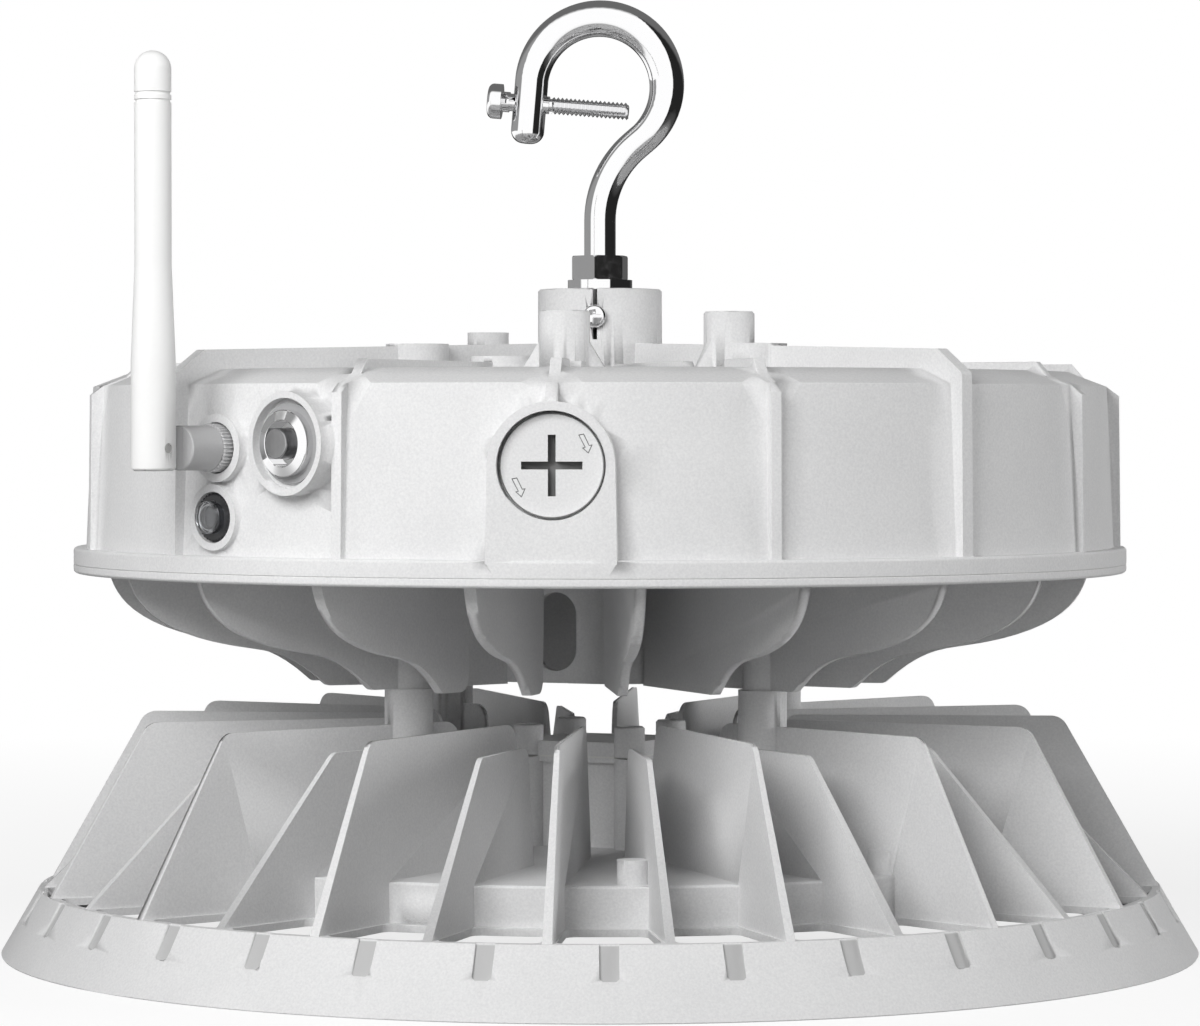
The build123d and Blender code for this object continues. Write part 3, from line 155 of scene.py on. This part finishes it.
def cast_skin(name, face=None, groove_shade=False):
    """Blasted and coated casting: a fine speckle and soft mottling. Painted shade darkens it just behind a
    front face, where one is given, and in the skirt's grooves."""
    finish = Finish(name, 0.0, Specular_IOR_Level=0.42)
    speckle = finish.noise(1500.0, 3.0, 0.62)
    mottle = finish.noise(38.0, 2.0)
    pits = finish.node("TexVoronoi", None, {"Vector": finish.place, "Scale": 900.0})
    tone = finish.band(speckle * 0.75 + mottle * 0.25, 0.34, 0.66)
    shade = finish.mix(tone, (0.68, 0.68, 0.685, 1), (0.78, 0.78, 0.78, 1))
    if face:
        # Painted shade: everything just behind the front face (the cap's slots, arrows and rim gap) is
        # painted dark grey.
        recess_shade = finish.band(finish.axis(1), face + 0.00006, face + 0.0002)
        shade = finish.mix(recess_shade, shade, (0.20, 0.20, 0.20, 1))
    if groove_shade:
        height = finish.axis(2)
        across = finish.node("VectorMath", {"operation": "MULTIPLY"}, {0: finish.place, 1: (1, 1, 0)})
        reach = finish.node("VectorMath", {"operation": "LENGTH"}, {0: across}, output=1)
        sunk = skirt_radius - height * skirt_slope - reach
        rim = finish.band(sunk, 0.0003, 0.0009)
        bottom = finish.band(sunk, 0.0013, 0.0015, 1.0, 0.0)
        top = finish.band(height, 0.0180, 0.0184, 1.0, 0.0)
        # Painted shade: what lies sunk in the skirt's grooves, below the skirt's top, is painted a darker
        # grey.
        shade = finish.mix(rim * bottom * top, shade, (0.49, 0.49, 0.49, 1))
    finish.set(Base_Color=shade)
    finish.set(Roughness=0.46 + speckle * 0.16)
    skin = finish.node("Bump", None, {"Strength": 0.34, "Distance": 0.00012,
                                      "Height": speckle * 0.8 + pits * 0.35})
    finish.set(Normal=skin)
    return finish.material


def pick(piece):
    """Select one piece and nothing else."""
    bpy.ops.object.select_all(action="DESELECT")
    piece.select_set(True)
    bpy.context.view_layer.objects.active = piece


def settle(piece):
    """Put a piece's place, turn and size into its mesh."""
    pick(piece)
    bpy.ops.object.transform_apply(location=True, rotation=True, scale=True)
    return piece


def modify(piece, kind, **settings):
    """Give a piece a modifier, and apply it."""
    pick(piece)
    bpy.ops.object.modifier_add(type=kind)
    change = piece.modifiers[-1]
    for key, value in settings.items():
        setattr(change, key, value)
    bpy.ops.object.modifier_apply(modifier=change.name)


def edit(piece):
    """Edit mode on one piece with all of it selected."""
    pick(piece)
    bpy.ops.object.mode_set(mode="EDIT")
    bpy.ops.mesh.select_mode(type="FACE")
    bpy.ops.mesh.select_all(action="SELECT")


def soften(piece, width):
    """Small round on a casting's long outer edges, as the die and the blasting leave them."""
    mesh = bmesh.new()
    mesh.from_mesh(piece.data)
    chosen = []
    for line in mesh.edges:
        if line.calc_length() < 0.004 or line.calc_face_angle_signed(0.0) < radians(25):
            continue
        if min(near.calc_length() for end in line.verts for near in end.link_edges) > 0.0006:
            chosen.append(line.index)
    mesh.free()
    edit(piece)
    bpy.ops.mesh.select_mode(type="EDGE")
    bpy.ops.mesh.select_all(action="DESELECT")
    bpy.ops.object.mode_set(mode="OBJECT")
    for index in chosen:
        piece.data.edges[index].select = True
    bpy.ops.object.mode_set(mode="EDIT")
    bpy.ops.mesh.bevel(offset=width, segments=2, affect="EDGES", clamp_overlap=False)
    bpy.ops.object.mode_set(mode="OBJECT")


def polish(piece, limit=38.0):
    """Round shading on curved faces and flat shading on flat ones."""
    pick(piece)
    bpy.ops.object.shade_smooth_by_angle(angle=radians(limit))
    modify(piece, "WEIGHTED_NORMAL", keep_sharp=True)


def merged_copy(node, name):
    """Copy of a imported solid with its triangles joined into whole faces, in the solid's own place."""
    source = frame["nodes"][node]
    piece = source.copy()
    piece.data = source.data.copy()
    piece.name = name
    piece.data.name = name
    for key in list(piece.keys()):
        del piece[key]
    piece.parent = None
    bpy.context.scene.collection.objects.link(piece)
    edit(piece)
    bpy.ops.mesh.remove_doubles(threshold=0.000004)
    bpy.ops.mesh.dissolve_limited(angle_limit=radians(0.05))
    bpy.ops.object.mode_set(mode="OBJECT")
    return piece


def stand_for(piece, node, material):
    """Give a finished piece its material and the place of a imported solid."""
    piece.data.materials.clear()
    piece.data.materials.append(material)
    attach(piece, frame["nodes"][node]["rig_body"])
    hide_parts(node)


def dress(node, material, soft=0.0, limit=38.0):
    """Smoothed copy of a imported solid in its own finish."""
    piece = merged_copy(node, node + "_dressed")
    if soft:
        soften(piece, soft)
    polish(piece, limit)
    stand_for(piece, node, material)
    return piece


skirt_radius = 0.17
skirt_slope = 0.582
cast_round = 0.00025
cast_grey = cast_skin("cast_light_grey")
# Its finish paints shade into the skirt's grooves.
sink_cast = cast_skin("sink_cast", groove_shade=True)
dress("heat_sink", sink_cast, cast_round)


# Light engine: a round white circuit board with yellow packages under the disc, a white silicone gasket,
# a clear cover plate with a slightly frosted face, and a punched aluminium ring with ten zinc-plated
# screws.
def plain_skin(name, colour, dark, rough, scale, bump=0.15, metallic=0.0, **fixed):
    """Moulded, rolled or plated surface: a fine texture that shifts colour, gloss and height a little."""
    finish = Finish(name, metallic, **fixed)
    fine = finish.noise(scale, 3.0, 0.6)
    broad = finish.noise(scale / 24.0, 2.0)
    finish.set(Base_Color=finish.mix(fine * 0.55 + broad * 0.45, dark, colour))
    finish.set(Roughness=rough + (fine - 0.5) * 0.18)
    finish.set(Normal=finish.node("Bump", None, {"Strength": bump, "Distance": 0.00008, "Height": fine}))
    return finish.material


board_white = plain_skin("board_white", (0.88, 0.88, 0.87, 1), (0.80, 0.80, 0.79, 1), 0.32, 700.0)
chip_yellow = plain_skin("chip_yellow", (0.95, 0.80, 0.26, 1), (0.88, 0.68, 0.18, 1), 0.30, 2600.0, 0.3)
seal_white = plain_skin("seal_white", (0.84, 0.84, 0.82, 1), (0.76, 0.76, 0.74, 1), 0.55, 1100.0)
ring_metal = plain_skin("ring_metal", (0.76, 0.77, 0.78, 1), (0.66, 0.67, 0.68, 1), 0.34, 900.0, 0.2, 1.0)
zinc_steel = plain_skin("zinc_steel", (0.70, 0.70, 0.68, 1), (0.56, 0.56, 0.55, 1), 0.30, 1400.0, 0.15, 1.0)
lens_clear = plain_skin("lens_clear", (0.97, 0.98, 0.98, 1), (0.94, 0.95, 0.96, 1), 0.16, 1500.0, 0.25,
                        Transmission_Weight=1.0, IOR=1.49)
dress("led_board", board_white)
dress("led_chips", chip_yellow)
dress("lens_gasket", seal_white)
dress("lens_plate", lens_clear)
dress("lens_ring", ring_metal)
dress("lens_screws", zinc_steel)


# Centre box: the wires from the housing go down into it. A silicone gasket and a cast lid close it, with
# four screws sunk in the lid's corners.
dress("box_gasket", seal_white)
dress("box_lid", cast_grey)
dress("box_screws", zinc_steel)


# Housing base: the second casting, with twenty S-shaped fins, a slotted neck and four posts. Long screws
# go down through its posts into the heat sink, and a rubber grommet guards its wire hole. The wall of the
# neck's flat is made full again round its slot.
def combine(piece, tool, operation="DIFFERENCE"):
    """Cut one closed shape out of another, or unite them."""
    modify(piece, "BOOLEAN", operation=operation, solver="EXACT", use_self=True, object=tool)
    bpy.data.objects.remove(tool)


def block(low, high):
    """Box between two corners."""
    bpy.ops.object.select_all(action="DESELECT")
    bpy.ops.mesh.primitive_cube_add(size=1.0, location=(Vector(low) + Vector(high)) / 2)
    box = bpy.context.object
    box.scale = Vector(high) - Vector(low)
    return settle(box)


def rod(radius, length, place=(0, 0, 0), turn=(0, 0, 0), sides=64):
    """Closed cylinder round its own middle."""
    bpy.ops.object.select_all(action="DESELECT")
    bpy.ops.mesh.primitive_cylinder_add(vertices=sides, radius=radius, depth=length, location=place,
                                        rotation=turn)
    return settle(bpy.context.object)


seal_black = plain_skin("seal_black", (0.05, 0.05, 0.05, 1), (0.03, 0.03, 0.03, 1), 0.62, 1200.0, 0.3)
base = merged_copy("housing_base", "base_casting")
soften(base, cast_round)
neck_turn = radians(-18)
slot_radius = 0.0063
slot_low = 0.0865
slot_high = 0.0959
wall_half = 0.0132
wall_outside = 0.03198
wall_inside = 0.0292
wall_low = 0.07683
wall_high = 0.1076
neck_wall = block((-wall_half, -wall_outside, wall_low), (wall_half, -wall_inside, wall_high))
for height in (slot_low, slot_high):
    combine(neck_wall, rod(slot_radius, 0.02, (0, -0.031, height), (radians(90), 0, 0)))
combine(neck_wall, block((-slot_radius, -0.05, slot_low), (slot_radius, -0.02, slot_high)))
neck_wall.rotation_euler = (0, 0, neck_turn)
combine(base, settle(neck_wall), "UNION")
polish(base)
stand_for(base, "housing_base", cast_grey)
dress("wire_grommet", seal_black)
dress("standoff_screws", zinc_steel)


# Inside the housing: a potted driver on a thermal pad, a terminal block, and a small board with the radio
# for the antenna and the light sensor's input. It is closed in, so it has plain shapes in their real
# materials.
pad_grey = plain_skin("pad_grey", (0.40, 0.45, 0.50, 1), (0.33, 0.37, 0.42, 1), 0.70, 900.0)
driver_case = plain_skin("driver_case", (0.62, 0.63, 0.64, 1), (0.52, 0.53, 0.54, 1), 0.40, 800.0, 0.2, 1.0)
terminal_white = plain_skin("terminal_white", (0.86, 0.86, 0.82, 1), (0.80, 0.80, 0.76, 1), 0.45, 1000.0)
board_green = plain_skin("board_green", (0.04, 0.24, 0.11, 1), (0.03, 0.17, 0.08, 1), 0.35, 600.0)
brass = plain_skin("brass", (0.78, 0.62, 0.30, 1), (0.66, 0.50, 0.22, 1), 0.30, 1200.0, 0.15, 1.0)
dress("thermal_pad", pad_grey)
dress("led_driver", driver_case)
dress("terminal_block", terminal_white)
dress("control_board", board_green)
dress("board_standoffs", brass)
dress("board_screws", zinc_steel)


# Driver housing: the cover casting with sixteen ribs, hub, posts, bosses, cap pad and collars. It closes
# on a rubber ring in its groove, and ten countersunk screws come up through the base's flange.
dress("housing_gasket", seal_black)
dress("housing_screws", zinc_steel)
dress("driver_housing", cast_grey, cast_round)


# Access cap: a cast screw cap with a deep cross slot over the wiring hole, on a flat rubber ring. Two
# small bent arrows are engraved in its face.
cap_face = -0.146
cap_height = 0.1385
# The cap's finish paints shade into its slots, arrows and rim gap.
cap_cast = cast_skin("cap_cast", face=cap_face)


def stroke(first, second, width, depth):
    """Bar between two points of the cap's face, in millimetres from its middle."""
    run = Vector(second) - Vector(first)
    middle = (Vector(second) + Vector(first)) / 2
    bpy.ops.object.select_all(action="DESELECT")
    bpy.ops.mesh.primitive_cube_add(size=1.0, rotation=(0, -atan2(run.y, run.x), 0),
                                    location=(middle.x / 1000, cap_face, cap_height + middle.y / 1000))
    bar = bpy.context.object
    bar.scale = ((run.length + width) / 1000, 2 * depth / 1000, width / 1000)
    return settle(bar)


cap = merged_copy("access_cap", "slotted_cap")
slot_reach = 6.8
combine(cap, stroke((-slot_reach, 0), (slot_reach, 0), 2.0, 3.0))
combine(cap, stroke((0, -slot_reach), (0, slot_reach), 2.0, 3.0))
arrow = [(6.9, 7.7), (8.1, 7.95), (9.5, 5.1), (10.2, 5.2), (9.3, 3.2), (7.9, 4.4), (8.5, 4.6), (6.9, 7.7)]
for shift in ((0.0, 0.0), (-17.0, -11.1)):
    corners = [(x + shift[0], z + shift[1]) for x, z in arrow]
    for start, end in zip(corners, corners[1:]):
        combine(cap, stroke(start, end, 0.24, 0.25))
polish(cap)
stand_for(cap, "access_cap", cap_cast)
dress("access_cap_seal", seal_black)


# Cable gland: a polished nut with a shallow cone, turned on a lathe, with a grey sealing washer behind it
# and a round plug in its mouth.
chrome = plain_skin("chrome_steel", (0.86, 0.86, 0.865, 1), (0.82, 0.82, 0.825, 1), 0.05, 500.0, 0.01, 1.0)
washer_grey = plain_skin("washer_grey", (0.44, 0.44, 0.445, 1), (0.30, 0.30, 0.305, 1), 0.60, 1400.0)
plug_grey = plain_skin("plug_grey", (0.42, 0.42, 0.425, 1), (0.34, 0.34, 0.345, 1), 0.24, 1400.0, 0.1, 1.0)


def turned(name, steps, sides=96):
    """Closed ring turned round Z through pairs of radius and height in millimetres."""
    radius, height = steps[0]
    bpy.ops.object.select_all(action="DESELECT")
    bpy.ops.mesh.primitive_circle_add(vertices=sides, radius=radius / 1000, location=(0, 0, height / 1000))
    ring = settle(bpy.context.object)
    ring.name = name
    edit(ring)
    bpy.ops.mesh.select_mode(type="EDGE")
    bpy.ops.mesh.select_all(action="SELECT")
    for wide, tall in steps[1:]:
        bpy.ops.mesh.extrude_edges_move(TRANSFORM_OT_translate={"value": (0, 0, (tall - height) / 1000)})
        share = wide / radius
        bpy.ops.transform.resize(value=(share, share, 1), center_override=(0, 0, tall / 1000))
        radius, height = wide, tall
    bpy.ops.mesh.select_all(action="SELECT")
    bpy.ops.mesh.remove_doubles(threshold=0.000004)
    bpy.ops.mesh.normals_make_consistent(inside=False)
    bpy.ops.object.mode_set(mode="OBJECT")
    return ring


port_turn = radians(-37)
port_out = Vector((sin(port_turn), -cos(port_turn), 0))
port_side = Vector((cos(port_turn), sin(port_turn), 0))


def to_port(piece, port, out):
    """Turn a piece made round Z onto a side port's axis, with its foot at a distance out."""
    shift, height = port
    piece.rotation_euler = (radians(90), 0, port_turn)
    piece.location = port_side * shift + port_out * out + Vector((0, 0, height))
    settle(piece)


gland = turned("gland_nut", [(8.7, 0), (8.7, 2.35), (8.5, 2.5), (6.2, 3.1), (6.0, 3.0), (6.0, 0.6),
                             (4.1, 0.6), (4.1, -12), (5.95, -12), (5.95, 0), (8.7, 0)])
gland_port = (0.0231, 0.144)
to_port(gland, gland_port, 0.1459)
polish(gland, 12)
stand_for(gland, "cable_gland", chrome)
dress("gland_washer", washer_grey)
dress("gland_plug", plug_grey)


# Antenna: a folding stub. Its connector and knurled nut sit in the collar, the grey swivel turns in them,
# and the white whip folds on a pin through the swivel's tongue.
nut_metal = plain_skin("nut_metal", (0.64, 0.64, 0.645, 1), (0.52, 0.52, 0.525, 1), 0.36, 1400.0, 0.2, 0.3)
swivel_grey = plain_skin("swivel_grey", (0.56, 0.56, 0.565, 1), (0.45, 0.45, 0.455, 1), 0.55, 1500.0, 0.3)
whip_white = plain_skin("whip_white", (0.86, 0.86, 0.855, 1), (0.82, 0.82, 0.815, 1), 0.42, 1400.0, 0.1)
dress("antenna_connector", nut_metal)


def knurled(name, radius, depth, teeth, height, bore):
    """Ring of straight teeth round Z, with a chamfer at its outer end."""
    ring = rod(radius, height, (0, 0, height / 2), sides=4 * teeth)
    ring.name = name
    edit(ring)
    bpy.ops.mesh.select_mode(type="VERT")
    bpy.ops.mesh.select_all(action="DESELECT")
    bpy.ops.object.mode_set(mode="OBJECT")
    for corner in ring.data.vertices:
        step = round(atan2(corner.co.y, corner.co.x) / (2 * pi) * 4 * teeth) % 4
        corner.select = step > 1
    bpy.ops.object.mode_set(mode="EDIT")
    share = 1 - depth / radius
    bpy.ops.transform.resize(value=(share, share, 1), center_override=(0, 0, 0))
    bpy.ops.mesh.select_mode(type="FACE")
    bpy.ops.mesh.select_all(action="DESELECT")
    bpy.ops.object.mode_set(mode="OBJECT")
    for face in ring.data.polygons:
        face.select = face.normal.z > 0.9
    bpy.ops.object.mode_set(mode="EDIT")
    bpy.ops.mesh.extrude_region_move(TRANSFORM_OT_translate={"value": (0, 0, 0.0003)})
    bpy.ops.transform.resize(value=(0.94, 0.94, 1), center_override=(0, 0, 0))
    bpy.ops.object.mode_set(mode="OBJECT")
    combine(ring, rod(bore, 0.05))
    return ring


antenna_port = (-0.003, 0.1428)
collar_floor = 0.1435
shoulder = 0.16073
nut = knurled("knurled_antenna_nut", 0.0064, 0.00045, 38, 0.0062, 0.0032)
to_port(nut, antenna_port, collar_floor)
polish(nut, 20)
stand_for(nut, "antenna_nut", nut_metal)
tongue = merged_copy("antenna_swivel", "antenna_tongue")
edit(tongue)
bpy.ops.mesh.bisect(plane_co=port_out * shoulder, plane_no=port_out, use_fill=True, clear_inner=True)
bpy.ops.object.mode_set(mode="OBJECT")
polish(tongue)
stand_for(tongue, "antenna_swivel", swivel_grey)
elbow = turned("antenna_elbow", [(0.02, 0), (5.7, 0), (5.85, 0.15), (5.85, 10.4), (5.6, 10.7), (0.02, 10.7),
                                 (0.02, 0)])
to_port(elbow, antenna_port, 0.15005)
polish(elbow, 20)
stand_for(elbow, "antenna_swivel", swivel_grey)
dress("antenna_pin", zinc_steel)
dress("antenna_whip", whip_white)


# Light sensor: a black can behind a small smoked window, held in the lower collar by a moulded ring nut
# with straight teeth.
sensor_black = plain_skin("sensor_black", (0.035, 0.035, 0.037, 1), (0.02, 0.02, 0.022, 1), 0.35, 1400.0, 0.3)
sensor_clear = plain_skin("sensor_clear", (0.58, 0.59, 0.61, 1), (0.53, 0.54, 0.56, 1), 0.04, 900.0, 0.02,
                          Transmission_Weight=1.0, IOR=1.49)
dress("light_sensor_body", sensor_black)
ring = knurled("knurled_sensor_ring", 0.0064, 0.0004, 34, 0.0032, 0.0044)
sensor_port = (-0.0044, 0.1246)
to_port(ring, sensor_port, collar_floor)
polish(ring, 20)
stand_for(ring, "light_sensor_nut", sensor_black)
window = merged_copy("light_sensor_lens", "sensor_window")
modify(window, "BEVEL", width=0.0005, segments=4, limit_method="ANGLE")
polish(window)
stand_for(window, "light_sensor_lens", sensor_clear)


# Hook: a bent rod of chromed steel, screwed into the hub, locked by its nut and washer and by a screw in
# the hub's slit. A screw through its leg closes the mouth.
dress("hook_washer", chrome)
dress("hook_lock_nut", chrome, limit=20.0)
dress("hook", chrome)
gate_tilt = radians(4.8)
gate_start = Vector((-0.0201, 0, 0.24061))
gate_way = Vector((cos(gate_tilt), 0, -sin(gate_tilt)))
head_length = 0.0056
screw_head = merged_copy("hook_gate_screw", "gate_screw_head")
edit(screw_head)
bpy.ops.mesh.bisect(plane_co=gate_start + gate_way * head_length, plane_no=gate_way, use_fill=True,
                    clear_outer=True)
bpy.ops.object.mode_set(mode="OBJECT")
polish(screw_head)
stand_for(screw_head, "hook_gate_screw", chrome)

core_radius = 0.00186
ridge_foot = 0.00185
ridge_height = 0.00064
ridge_half_width = 0.00056
thread_pitch = 0.00121
bpy.ops.object.select_all(action="DESELECT")
bpy.ops.mesh.primitive_circle_add(vertices=4, radius=1.0, rotation=(radians(90), 0, 0))
thread = settle(bpy.context.object)
thread.name = "gate_screw_thread"
thread.scale = (ridge_height, 1.0, ridge_half_width)
thread.location = (ridge_foot, 0, 0.0062)
settle(thread)
modify(thread, "SCREW", axis="Z", screw_offset=thread_pitch, iterations=18, steps=24, render_steps=24)
edit(thread)
bpy.ops.mesh.fill_holes(sides=4)
bpy.ops.mesh.select_all(action="SELECT")
bpy.ops.mesh.normals_make_consistent(inside=False)
bpy.ops.object.mode_set(mode="OBJECT")
core = rod(core_radius, 0.0234, (0, 0, 0.0167), sides=48)
modify(core, "BEVEL", width=0.0004, segments=2)
combine(thread, core, "UNION")
thread.rotation_euler = (0, radians(90) + gate_tilt, 0)
thread.location = gate_start
settle(thread)
polish(thread, 30)
stand_for(thread, "hook_gate_screw", chrome)
dress("hub_lock_screw", chrome)


# Floor: pale and plain, under the skirt's rim. The camera sees most of it as white, and the light's own
# shadow stays on it.
def studio_white(name):
    """Pale ground that is mostly bright by itself to the camera and in glass, and far off in metal too."""
    finish = Finish(name, 0.0, Roughness=0.9)
    rays = finish.node("LightPath", output="Is Camera Ray")
    glass = finish.node("LightPath", output="Is Transmission Ray")
    metal = finish.node("LightPath", output="Is Glossy Ray")
    reach = finish.node("VectorMath", {"operation": "LENGTH"}, {0: finish.place}, output=1)
    share = finish.band(reach, 0.25, 0.9, 0.75, 1.0)
    white = finish.band(reach, 0.25, 0.9, 1.06, 1.0)
    finish.set(Base_Color=finish.mix(rays, (0.40, 0.40, 0.40, 1), (0.90, 0.90, 0.90, 1)))
    far = finish.band(reach, 0.42, 0.55)
    front = finish.band(finish.axis(0) + finish.axis(1) * 0.87, -0.04, 0.0, 1.18, 0.02)
    glow = finish.node("Emission", None, {"Color": white + metal * (front - 1.0), "Strength": 1.0})
    seen = finish.node("Math", {"operation": "MAXIMUM"}, {0: rays, 1: glass})
    seen = finish.node("Math", {"operation": "MAXIMUM"}, {0: seen, 1: metal * far})
    lit = Term(finish, finish.shader.outputs[0])
    mixed = finish.node("MixShader", None, {0: seen * share, 1: lit, 2: glow})
    finish.tree.links.new(mixed.socket, finish.tree.nodes["Material Output"].inputs["Surface"])
    return finish.material


bpy.ops.object.select_all(action="DESELECT")
bpy.ops.mesh.primitive_plane_add(size=24.0, location=(0, 0, 0))
floor = bpy.context.object
floor.name = "floor"
floor.data.materials.append(studio_white("floor_white"))


# World: white in front of the light, grey on its left and dark on its right, which the chrome shows, and
# a lower plain level for what falls on the castings.
world = bpy.data.worlds.new("studio")
bpy.context.scene.world = world
world.use_nodes = True
sky = world.node_tree
rays = sky.nodes.new("ShaderNodeLightPath")


def sky_math(operation, *values):
    """Math node on levels of the world."""
    node = sky.nodes.new("ShaderNodeMath")
    node.operation = operation
    for socket, value in zip(node.inputs, values):
        if isinstance(value, float):
            socket.default_value = value
        else:
            sky.links.new(value, socket)
    return node.outputs[0]


def sky_band(value, low, high, from_level, to_level):
    """Soft step from one level to another."""
    node = sky.nodes.new("ShaderNodeMapRange")
    node.interpolation_type = "SMOOTHSTEP"
    for socket, number in zip(node.inputs[1:5], (low, high, from_level, to_level)):
        socket.default_value = number
    sky.links.new(value, node.inputs[0])
    return node.outputs[0]


way = sky.nodes.new("ShaderNodeSeparateXYZ")
sky.links.new(sky.nodes.new("ShaderNodeTexCoord").outputs["Generated"], way.inputs[0])
bearing = sky_math("ARCTAN2", way.outputs["X"], sky_math("MULTIPLY", way.outputs["Y"], -1.0))
right = sky_band(bearing, radians(39), radians(42.5), 1.0, 0.017)
left = sky_band(bearing, radians(-70), radians(-64), 0.29, 1.0)
shown = sky_math("MULTIPLY", sky_math("MULTIPLY", right, left), 1.18)
high = sky_math("ADD", way.outputs["Z"], sky_math("MULTIPLY", way.outputs["Y"], 0.6))
top = sky_band(high, 0.45, 0.72, 0.0, 1.0)
shown = sky_math("ADD", shown, sky_math("MULTIPLY", top, sky_math("SUBTRACT", 0.16, shown)))
front = sky_math("ADD", sky_math("MULTIPLY", way.outputs["Y"], -0.92),
                 sky_math("MULTIPLY", way.outputs["X"], 0.35))
plain = sky_math("ADD", sky_math("MULTIPLY", sky_math("MAXIMUM", front, 0.0), 0.47), 0.05)
step = sky_math("SUBTRACT", shown, plain)
glossy = sky_math("ADD", sky_math("MULTIPLY", rays.outputs["Is Glossy Ray"], step), plain)
seen = sky_math("MAXIMUM", rays.outputs["Is Camera Ray"], rays.outputs["Is Transmission Ray"])
level = sky_math("MAXIMUM", glossy, seen)
sky.links.new(level, sky.nodes["Background"].inputs["Strength"])
sky.nodes["Background"].inputs["Color"].default_value = (1, 1, 1, 1)


# Lamps: a soft one near the front, above and to the left, one far off on each side, and one behind. None
# of them is seen in the chrome, which shows the world.
def lamp(name, place, size, watts):
    """Soft rectangular lamp that points at the middle of the light."""
    data = bpy.data.lights.new(name, "AREA")
    data.shape = "RECTANGLE"
    data.size, data.size_y = size
    data.energy = watts
    light = bpy.data.objects.new(name, data)
    light.location = place
    light.visible_glossy = False
    light.rotation_euler = (Vector(place) - Vector((0, 0, 0.12))).to_track_quat("Z", "Y").to_euler()
    bpy.context.scene.collection.objects.link(light)


lamp("key", (-0.28, -0.74, 0.52), (0.5, 0.4), 5.7)
lamp("left_side", (-1.9, -0.35, 0.3), (0.7, 1.0), 3.9)
lamp("right_side", (1.9, 0.05, 0.25), (0.7, 1.0), 18.6)
lamp("back", (0.3, 1.7, 0.35), (0.9, 0.9), 9.0)
bpy.context.scene.view_settings.view_transform = "Standard"
bpy.context.view_layer.update()
